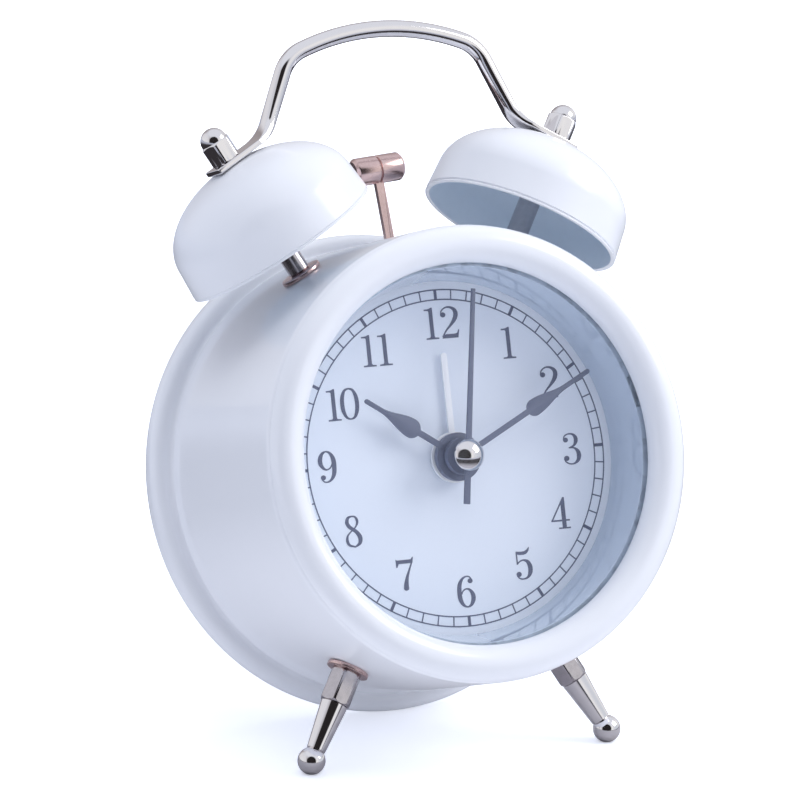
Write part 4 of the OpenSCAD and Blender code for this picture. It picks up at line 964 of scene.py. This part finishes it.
class CLOCK_OT_bells(bpy.types.Operator):
    """Turn both bells with their posts, washers and dome nuts"""
    bl_idname = "clock.bells"
    bl_label = "Bells"

    def execute(self, context):
        s = sizes()
        seat = s.drum_r + s.bell_lift
        skirt = seat + s.bell_skirt
        top = seat + s.bell_h
        bore = s.bell_r - s.bell_wall
        outer = dome(s.bell_r - s.skirt_draw, skirt, top)
        inner = dome(s.bell_r - s.skirt_draw - s.bell_wall, skirt, top - s.bell_wall)
        mouth = [(s.bell_r, seat + 2.5 * s.crease), (s.bell_r - s.crease, seat + 2 * s.crease)]
        mouth += arc((s.bell_r - s.lip_soft, seat + s.lip_soft), s.lip_soft, 30, -90, 6)
        mouth += arc((bore + s.lip_soft, seat + s.lip_soft), s.lip_soft, 270, 180, 4)
        foot = s.drum_r + s.washer_t
        head = top - s.bell_wall - FIT
        chamfer = 0.3 * MM
        post = [(0.0, foot), (s.post_r - chamfer, foot), (s.post_r, foot + chamfer),
                (s.post_r, head - chamfer), (s.post_r - chamfer, head), (0.0, head)]
        nuts = bmesh.new()
        for side, place in bell_places().items():
            shell = lathe(outer + mouth + inner[::-1], s.round_sides, loop=False)
            bell = piece("bell_dome_" + side, shell, place, "white_enamel", "case", "bell_" + side)
            # The inner faces of each bell take the bluer painted shade of the bell's inside
            bell.data.materials.append(finish("enamel_primer"))
            for face in bell.data.polygons[-len(inner) * s.round_sides:]:
                face.material_index = 1
            stud = lathe(post, s.small_sides, loop=False)
            piece("bell_post_" + side, stud, place, "worn_nickel", "case", "post_" + side)
            merge(nuts, dome_nut(top + s.tab_t), place)
        piece("acorn_nuts", nuts, Matrix(), "chrome_plate", "case", "dome_nuts")
        low, high, soft = s.drum_r, s.drum_r + s.washer_t, 0.25 * MM
        hole = s.post_r - 0.5 * MM
        profile = [(hole, low), (s.washer_r - soft, low)]
        profile += arc((s.washer_r - soft, low + soft), soft, -90, 0, 4)
        profile += arc((s.washer_r - soft, high - soft), soft, 0, 90, 4)
        washers = bmesh.new()
        for place in [*bell_places().values(), *foot_places().values()]:
            merge(washers, lathe(profile + [(hole, high)], s.small_sides), place)
        piece("plain_washers", washers, Matrix(), "rose_nickel", "case", "stud_washers")
        return {"FINISHED"}


def dome(radius, low, high, steps=64):
    """Points down a quarter ellipse, from the crown to the skirt of a bell."""
    turns = [math.pi / 2 * (1 - i / steps) for i in range(1, steps + 1)]
    return [(0.0, high)] + [(radius * math.cos(a), low + (high - low) * math.sin(a)) for a in turns]


def dome_nut(seat):
    """Hexagon with a chamfered top under a round dome."""
    s = sizes()
    corner = s.nut_flats / math.sqrt(3) - s.hex_soft
    step, chamfer = 0.1 * MM, 0.2 * MM
    dome_r = s.nut_flats / 2 - step
    shoulder = seat + s.dome_hex
    rise = seat + s.dome_nut_h - dome_r
    profile = [(0.0, seat), (s.nut_flats / 2, seat), (corner, seat + chamfer)]
    for t in [i / 6 for i in range(7)]:
        profile.append((corner - (corner - dome_r) * t, shoulder - HEX_BEVEL * (1 - t)))
    profile += arc((0.0, rise), dome_r, 0, 85.5, 19)
    return lathe(profile + [(0.0, rise + dome_r)], s.small_sides, loop=False, flats=s.nut_flats)


class CLOCK_OT_handle(bpy.types.Operator):
    """Bend the rod of the handle and flatten its ends to tabs"""
    bl_idname = "clock.handle"
    bl_label = "Handle"

    def execute(self, context):
        right = handle_stations()
        left = [(-x, y, -slope, flat, grow) for x, y, slope, flat, grow in right[:0:-1]]
        sections = [handle_section(*station) for station in left + right]
        piece("bent_handle", loft(sections), clock_place(), "chrome_plate", "case", "handle")
        return {"FINISHED"}


def heading(angle):
    """Direction at an angle from the top of the dial."""
    return Vector((math.sin(angle), math.cos(angle)))


def handle_stations():
    """Places along half of the handle: x, y, slope, flatness and growth of the section."""
    s = sizes()
    tab_mid = s.drum_r + s.bell_lift + s.bell_h + s.tab_t / 2
    arch_mid = tab_mid * math.cos(s.bell_angle) + s.handle_rise - s.arch_r
    arch_turn = math.asin(s.arch_half / s.arch_r)
    bend_mid = Vector((0.0, arch_mid)) + (s.arch_r - s.bend_r) * heading(arch_turn)
    leg_start = bend_mid + s.bend_r * heading(s.leg_slope)
    leg_run = Vector((math.cos(s.leg_slope), -math.sin(s.leg_slope)))
    seat_up = heading(s.bell_angle)
    seat_out = Vector((math.cos(s.bell_angle), -math.sin(s.bell_angle)))
    to_bend = s.bend_r * (math.cos(s.leg_slope - s.bell_angle) - 1)
    leg_length = (leg_start.dot(seat_up) + to_bend - tab_mid) / -leg_run.dot(seat_up)
    foot_mid = leg_start + leg_length * leg_run + s.bend_r * heading(s.leg_slope)
    tab_start = foot_mid - s.bend_r * seat_up
    tab_len = s.tab_over - tab_start.dot(seat_out)
    flat = 0.25
    rows = []
    for i in range(25):
        a = arch_turn * i / 24
        rows.append((*(Vector((0.0, arch_mid)) + s.arch_r * heading(a)), a, 0.0, 1.0))
    for i in range(1, 17):
        a = arch_turn + (s.leg_slope - arch_turn) * i / 16
        rows.append((*(bend_mid + s.bend_r * heading(a)), a, 0.0, 1.0))
    for i in range(1, 13):
        t = i / 12
        rows.append((*(leg_start + leg_length * t * leg_run), s.leg_slope, flat * t * t, 1.0))
    for i in range(1, 19):
        t = i / 18
        a = s.leg_slope + (s.bell_angle - s.leg_slope) * t
        rows.append((*(foot_mid - s.bend_r * heading(a)), a, flat + (1 - flat) * t, 1.0))
    soft = 0.35 * MM
    ends = [(1 - soft / tab_len * (1 - math.sin(a)), 1 - soft * (1 - math.cos(a)) / (s.tab_t / 2))
            for a in [math.pi / 2 * i / 5 for i in range(6)]]
    for t, grow in [(0.3, 1.0), (0.6, 1.0), *ends]:
        rows.append((*(tab_start + tab_len * t * seat_out), s.bell_angle, 1.0, grow))
    return rows


def handle_section(x, y, slope, flat, grow):
    """Cross-section of the handle, round on the rod and flat on the tab."""
    s = sizes()
    thick = (s.rod_r + (s.tab_t / 2 - s.rod_r) * flat) * grow
    wide = s.rod_r + (s.tab_w / 2 - s.rod_r) * flat
    wide -= (1 - grow) * s.tab_t / 2
    power = 1 - 0.75 * flat
    corners = 48
    points = []
    for k in range(corners):
        c, d = math.cos(2 * math.pi * k / corners), math.sin(2 * math.pi * k / corners)
        u = thick * math.copysign(abs(c) ** power, c)
        v = wide * math.copysign(abs(d) ** power, d)
        points.append((x + math.sin(slope) * u, y + math.cos(slope) * u, v - s.bell_depth))
    return points


class CLOCK_OT_feet(bpy.types.Operator):
    """Turn the two feet with their hexagons, legs and balls"""
    bl_idname = "clock.feet"
    bl_label = "Feet"

    def execute(self, context):
        s = sizes()
        foot = s.drum_r + s.washer_t
        top = foot + s.foot_hex_len
        end = top + s.leg_len
        ball = end + s.ball_neck
        corner = s.nut_flats / math.sqrt(3) - s.hex_soft
        inner = s.nut_flats / 2
        bevel = [(corner - (corner - inner) * t, HEX_BEVEL * t) for t in [i / 6 for i in range(7)]]
        block = [(0.0, foot)] + [(r, foot + HEX_BEVEL - h) for r, h in bevel[::-1]]
        block += [(r, top - HEX_BEVEL + h) for r, h in bevel] + [(0.0, top)]
        soft = 0.2 * MM
        start = math.asin((s.leg_end_r - soft) / s.ball_r)
        turns = [start + (math.pi - start) * i / 30 for i in range(30)]
        leg = [(0.0, top), (s.leg_top_r - soft, top), (s.leg_top_r, top + soft)]
        leg += [(s.leg_end_r, ball - s.ball_r * math.cos(start) - soft)]
        leg += [(s.ball_r * math.sin(a), ball - s.ball_r * math.cos(a)) for a in turns]
        leg += [(0.0, ball + s.ball_r)]
        hexes = bmesh.new()
        for side, place in foot_places().items():
            merge(hexes, lathe(block, s.small_sides, loop=False, flats=s.nut_flats), place)
            shape = lathe(leg, s.small_sides, loop=False)
            made = piece("ball_foot_" + side, shape, place, "chrome_plate", "case", "foot_" + side)
            for vertex in made.data.vertices:
                vertex.co.z = max(vertex.co.z, 0.0)
        piece("foot_spacers", hexes, Matrix(), "worn_nickel", "case", "foot_hexes")
        return {"FINISHED"}


class CLOCK_OT_hands(bpy.types.Operator):
    """Round the edges of the hands and turn the cap over their centre"""
    bl_idname = "clock.hands"
    bl_label = "Hands"

    def execute(self, context):
        s = sizes()
        for name in ("hour", "minute", "second"):
            softened(name + "_pointer", name + "_hand", HAND_SOFT, "grey_hand")
        softened("alarm_pointer", "alarm_hand", HAND_SOFT, "white_hand")
        back = min(p.z for p in spots("hand_cap"))
        rise = s.cap_h - s.cap_edge
        ball = (s.cap_r ** 2 + rise ** 2) / (2 * rise)
        reach = math.asin(s.cap_r / ball)
        turns = [reach * (1 - i / 24) for i in range(24)]
        soft = 0.1 * MM
        profile = [(0.0, back), (s.cap_r - soft, back), (s.cap_r, back + soft)]
        profile += [(ball * math.sin(a), back + s.cap_h - ball + ball * math.cos(a)) for a in turns]
        cap = lathe(profile + [(0.0, back + s.cap_h)], s.small_sides, loop=False)
        piece("centre_cap", cap, clock_place(), "chrome_plate", "seconds", "hand_cap")
        return {"FINISHED"}


class CLOCK_OT_hammer(bpy.types.Operator):
    """Turn the grooved hammer head and round its arm"""
    bl_idname = "clock.hammer"
    bl_label = "Hammer"

    def execute(self, context):
        s = sizes()
        half, groove, groove_depth, soft = s.head_len / 2, 0.22 * MM, 0.45 * MM, 0.1 * MM
        flank = [
            (0.0, -half), (s.head_r - s.head_bevel, -half), (s.head_r - soft, s.head_bevel - half - soft),
            (s.head_r, s.head_bevel - half + soft), (s.head_r, -groove - soft), (s.head_r - soft, -groove),
            (s.head_r - groove_depth, -groove * 0.6),
        ]
        head = lathe(flank + [(r, -z) for r, z in flank[::-1]], s.small_sides, loop=False)
        place = (
            clock_place()
            @ Matrix.Translation((0.0, s.drum_r + s.hammer_reach, -s.hammer_depth))
            @ Matrix.Rotation(s.arm_lean, 4, "Z")
            @ Matrix.Rotation(math.pi / 2, 4, "Y")
        )
        piece("grooved_head", head, place, "rose_nickel", "hammer", "hammer_head")
        softened("hammer_stem", "hammer_arm", 0.15 * MM, "rose_nickel")
        return {"FINISHED"}


class CLOCK_OT_rear(bpy.types.Operator):
    """Finish the rear cover with its knobs, screws, switch and battery door"""
    bl_idname = "clock.rear"
    bl_label = "Rear"

    def execute(self, context):
        s = sizes()
        place = clock_place()
        softened("back_cover", "rear_cover", 0.25 * MM, "white_abs")
        softened("cell_door", "battery_door", 0.2 * MM, "white_abs")
        softened("slide_switch", "alarm_switch", 0.25 * MM, "grey_abs")
        for name in ("time", "alarm"):
            node = name + "_knob"
            points = spots(node)
            low, high = min(p.z for p in points), max(p.z for p in points)
            middle = [(min(p[i] for p in points) + max(p[i] for p in points)) / 2 for i in (0, 1)]
            there = place @ Matrix.Translation((*middle, 0.0))
            piece("ribbed_knob_" + name, ribbed_knob(low, high), there, "white_abs", BODY_OF[node], node)
        points = spots("cover_screws")
        far = min(p.z for p in points)
        outer = max((p.xy for p in points if p.z < far + FIT), key=lambda p: p.length)
        seat = s.cover_inset - s.case_depth
        screws = cross_screws(far, seat, outer.length - s.screw_head_r, math.atan2(outer.y, outer.x))
        piece("cross_screws", screws, place, "zinc_steel", "case", "cover_screws")
        return {"FINISHED"}


def ribbed_knob(low, high):
    """Round knob with a hollow end and ribs round its side."""
    s = sizes()
    rib_r, tip_r, hollow = 0.5 * MM, 0.35 * MM, 0.5 * MM
    core, soft = s.knob_r - 0.45 * MM, 0.5 * MM
    profile = [(0.0, high), (core - soft, high)] + arc((core - soft, high - soft), soft, 90, 0, 6)
    profile += arc((core - soft, low + soft), soft, 0, -90, 6)
    profile += [(core - 1.2 * MM, low), (core - 1.6 * MM, low + hollow), (0.0, low + hollow)]
    shape = lathe(profile, s.small_sides, loop=False)
    end = [(0.0, 0.3 * MM), (tip_r, 0.35 * MM), (rib_r, 0.7 * MM)]
    rib = lathe([(r, high - h) for r, h in end] + [(r, low + h) for r, h in end[::-1]], 12, loop=False)
    ribs = arrayed(rib, "white_abs", 24, s.knob_r - rib_r, 0.0)
    shape.from_mesh(ribs)
    bpy.data.meshes.remove(ribs)
    return shape


def cross_screws(far, seat, reach, start):
    """Three pan-head screws with a cross recess, set round the cover."""
    s = sizes()
    turns = [math.pi / 2 * i / 10 for i in range(1, 10)]
    profile = [(0.0, seat), (s.screw_head_r, seat)]
    profile += [(s.screw_head_r * math.cos(a) ** 0.6, seat + (far - seat) * math.sin(a)) for a in turns]
    head = outward(lathe(profile + [(0.0, far)], s.small_sides // 2, loop=False))
    mesh = baked("head", head)
    for turned in (0.0, math.pi / 2):
        mesh = cut(mesh, (
            Matrix.Translation((0.0, 0.0, far))
            @ Matrix.Rotation(turned, 4, "Z")
            @ Matrix.Diagonal((1.3 * s.screw_head_r, s.cross_w, 2 * s.cross_depth, 1.0))
        ))
    head = bmesh.new()
    head.from_mesh(mesh)
    mesh = arrayed(head, "zinc_steel", 3, reach, start)
    shape = bmesh.new()
    shape.from_mesh(mesh)
    bpy.data.meshes.remove(mesh)
    return shape


class CLOCK_OT_movement(bpy.types.Operator):
    """Give the pieces inside the case their own materials"""
    bl_idname = "clock.movement"
    bl_label = "Movement"

    def execute(self, context):
        for slot, nodes in INSIDE.items():
            for node in nodes:
                NODES[node].data.materials.clear()
                NODES[node].data.materials.append(finish(slot))
        return {"FINISHED"}


INSIDE = {
    "dial_card": ["dial"],
    "plate_brass": ["front_plate", "back_plate", "plate_pillars", "minute_cannon"],
    "zinc_steel": ["plate_screws", "inner_nuts", "hammer_pin", "rebound_leaf", "battery_contacts",
                   "time_arbor", "alarm_arbor", "quartz_crystal"],
    "core_iron": ["stator", "magnet_yoke", "armature", "rotor"],
    "copper_wire": ["motor_coil", "magnet_coil"],
    "board_green": ["circuit_board"],
    "wheel_acetal": ["seconds_wheel", "third_wheel", "centre_wheel", "intermediate_wheel", "minute_wheel",
                     "hour_wheel", "alarm_wheel"],
    "grey_abs": ["battery_tray"],
    "cell_jacket": ["battery"],
}


class CLOCK_OT_stage(bpy.types.Operator):
    """Set up the floor, the studio lights and the camera"""
    bl_idname = "clock.stage"
    bl_label = "Stage"

    def execute(self, context):
        scene = context.scene
        scene.view_settings.view_transform = "Standard"
        card = bmesh.new()
        bmesh.ops.create_grid(card, x_segments=1, y_segments=1, size=4.0)
        floor = linked("floor", baked("floor", card))
        floor.data.materials.append(studio_floor())
        stage = scene.clock_stage
        light("top", (0.15, 0.1, 1.9), (2.2, 2.2), stage.top, mirrored=False)
        light("key", (0.75, -0.36, 0.62), (0.5, 0.5), stage.key)
        camera(scene, stage)
        world(scene)
        return {"FINISHED"}


def light(name, spot, size, power, mirrored=True):
    """Soft box that looks at the middle of the clock; metal shows it only where it is mirrored."""
    lamp = bpy.data.lights.new(name, "AREA")
    lamp.shape = "RECTANGLE"
    lamp.size, lamp.size_y = size
    lamp.energy = power
    made = linked(name, lamp)
    aim = CLOCK_MIDDLE - Vector(spot)
    made.matrix_world = Matrix.Translation(spot) @ aim.to_track_quat("-Z", "Y").to_matrix().to_4x4()
    made.visible_glossy = mirrored


def world(scene):
    """Pale room; metal mirrors a dark patch behind the camera between a grey and a bright wall."""
    right, _, away = (scene.camera.matrix_world.to_3x3().col[i] for i in range(3))
    scene.world = bpy.data.worlds.new("studio")
    scene.world.use_nodes = True
    tree = scene.world.node_tree
    tree.nodes.clear()
    where = add(tree, "ShaderNodeTexCoord").outputs["Generated"]
    across, ahead = (
        add(tree, "ShaderNodeVectorMath", {"operation": "DOT_PRODUCT"}, {0: where, 1: axis}).outputs["Value"]
        for axis in (right, away)
    )
    walls = add(tree, "ShaderNodeValToRGB", None, {
        "Fac": add(tree, "ShaderNodeMapRange", None, {"Value": across, "From Min": -1.0}).outputs[0]
    })
    stops = walls.color_ramp.elements
    stops[0].position, stops[0].color = 0.0, linear("#F4F6FA")
    stops[1].position, stops[1].color = 1.0, linear("#DCE2EC")
    bands = {0.14: "#E9E9EE", 0.24: "#A39C9E", 0.5: "#B4AEB0", 0.74: "#E8E8EE", 0.86: "#FFFFFF"}
    for position, code in bands.items():
        stops.new(position).color = linear(code)
    height = add(tree, "ShaderNodeSeparateXYZ", None, {0: where}).outputs["Z"]
    overhead = add(tree, "ShaderNodeMapRange", None, {
        "Value": height, "From Min": 0.45, "From Max": 0.8
    }).outputs[0]
    lid = add(tree, "ShaderNodeMix", {"data_type": "RGBA"}, {
        0: overhead, 6: walls.outputs[0], 7: linear("#EDF1FA")
    }).outputs[2]
    patch = add(tree, "ShaderNodeMapRange", None, {
        "Value": ahead, "From Min": 0.76, "From Max": 0.81
    }).outputs[0]
    mirrored = add(tree, "ShaderNodeMix", {"data_type": "RGBA"}, {
        0: patch, 6: lid, 7: linear("#2A2728")
    }).outputs[2]
    shine = add(tree, "ShaderNodeBackground", None, {"Color": mirrored, "Strength": 1.0})
    dim = add(tree, "ShaderNodeMapRange", None, {
        "Value": ahead, "From Min": 0.1, "From Max": 0.9, "To Min": 0.74, "To Max": 0.46
    }).outputs[0]
    room = add(tree, "ShaderNodeBackground", None, {"Color": linear("#DAE3F8"), "Strength": dim})
    backdrop = add(tree, "ShaderNodeBackground", None, {"Color": linear("#FFFFFF"), "Strength": 1.0})
    path = add(tree, "ShaderNodeLightPath").outputs
    lit = add(tree, "ShaderNodeMixShader", None, {
        0: path["Is Glossy Ray"], 1: room.outputs[0], 2: shine.outputs[0]
    })
    both = add(tree, "ShaderNodeMixShader", None, {
        0: path["Is Camera Ray"], 1: lit.outputs[0], 2: backdrop.outputs[0]
    })
    add(tree, "ShaderNodeOutputWorld", None, {"Surface": both.outputs[0]})


def camera(scene, stage):
    """Long lens to the left of the dial, rolled as the photo is."""
    az, el, roll = stage.azimuth, stage.elevation, stage.roll
    axes = Matrix((RIGHT, BACK, UP)).transposed()
    away = axes @ Vector((-math.sin(az) * math.cos(el), -math.cos(az) * math.cos(el), math.sin(el)))
    side = (-away).cross(UP).normalized()
    rise = side.cross(-away)
    right = math.cos(roll) * side + math.sin(roll) * rise
    up = math.cos(roll) * rise - math.sin(roll) * side
    lens = bpy.data.cameras.new("camera")
    lens.lens = stage.focal
    lens.clip_start, lens.clip_end = 0.05, 50.0
    made = linked("camera", lens)
    spot = glass_centre() + away * stage.distance - right * stage.aim_right + up * stage.aim_down
    made.matrix_world = Matrix.Translation(spot) @ Matrix((right, up, away)).transposed().to_4x4()
    scene.camera = made


OPERATORS = (
    CLOCK_OT_case, CLOCK_OT_front, CLOCK_OT_dial, CLOCK_OT_bells, CLOCK_OT_handle, CLOCK_OT_feet,
    CLOCK_OT_hands, CLOCK_OT_hammer, CLOCK_OT_rear, CLOCK_OT_movement, CLOCK_OT_stage,
)


class CLOCK_PT_panel(bpy.types.Panel):
    """Sizes, colours and steps of the clock"""
    bl_idname = "CLOCK_PT_panel"
    bl_label = "Twin-Bell Clock"
    bl_space_type = "VIEW_3D"
    bl_region_type = "UI"
    bl_category = "Clock"

    def draw(self, context):
        for group in (context.scene.clock_sizes, context.scene.clock_colours, context.scene.clock_stage):
            box = self.layout.box()
            for name in group.__annotations__:
                box.prop(group, name)
        for operator in OPERATORS:
            self.layout.operator(operator.bl_idname)


CLASSES = (ClockSizes, ClockColours, ClockStage, *OPERATORS, CLOCK_PT_panel)


def register():
    for item in CLASSES:
        bpy.utils.register_class(item)
    bpy.types.Scene.clock_sizes = PointerProperty(type=ClockSizes)
    bpy.types.Scene.clock_colours = PointerProperty(type=ClockColours)
    bpy.types.Scene.clock_stage = PointerProperty(type=ClockStage)


def unregister():
    del bpy.types.Scene.clock_stage
    del bpy.types.Scene.clock_colours
    del bpy.types.Scene.clock_sizes
    for item in reversed(CLASSES):
        bpy.utils.unregister_class(item)


def main():
    register()
    bpy.ops.clock.case()
    bpy.ops.clock.front()
    bpy.ops.clock.dial()
    bpy.ops.clock.bells()
    bpy.ops.clock.handle()
    bpy.ops.clock.feet()
    bpy.ops.clock.hands()
    bpy.ops.clock.hammer()
    bpy.ops.clock.rear()
    bpy.ops.clock.movement()
    bpy.ops.clock.stage()


if __name__ == "__main__":
    main()
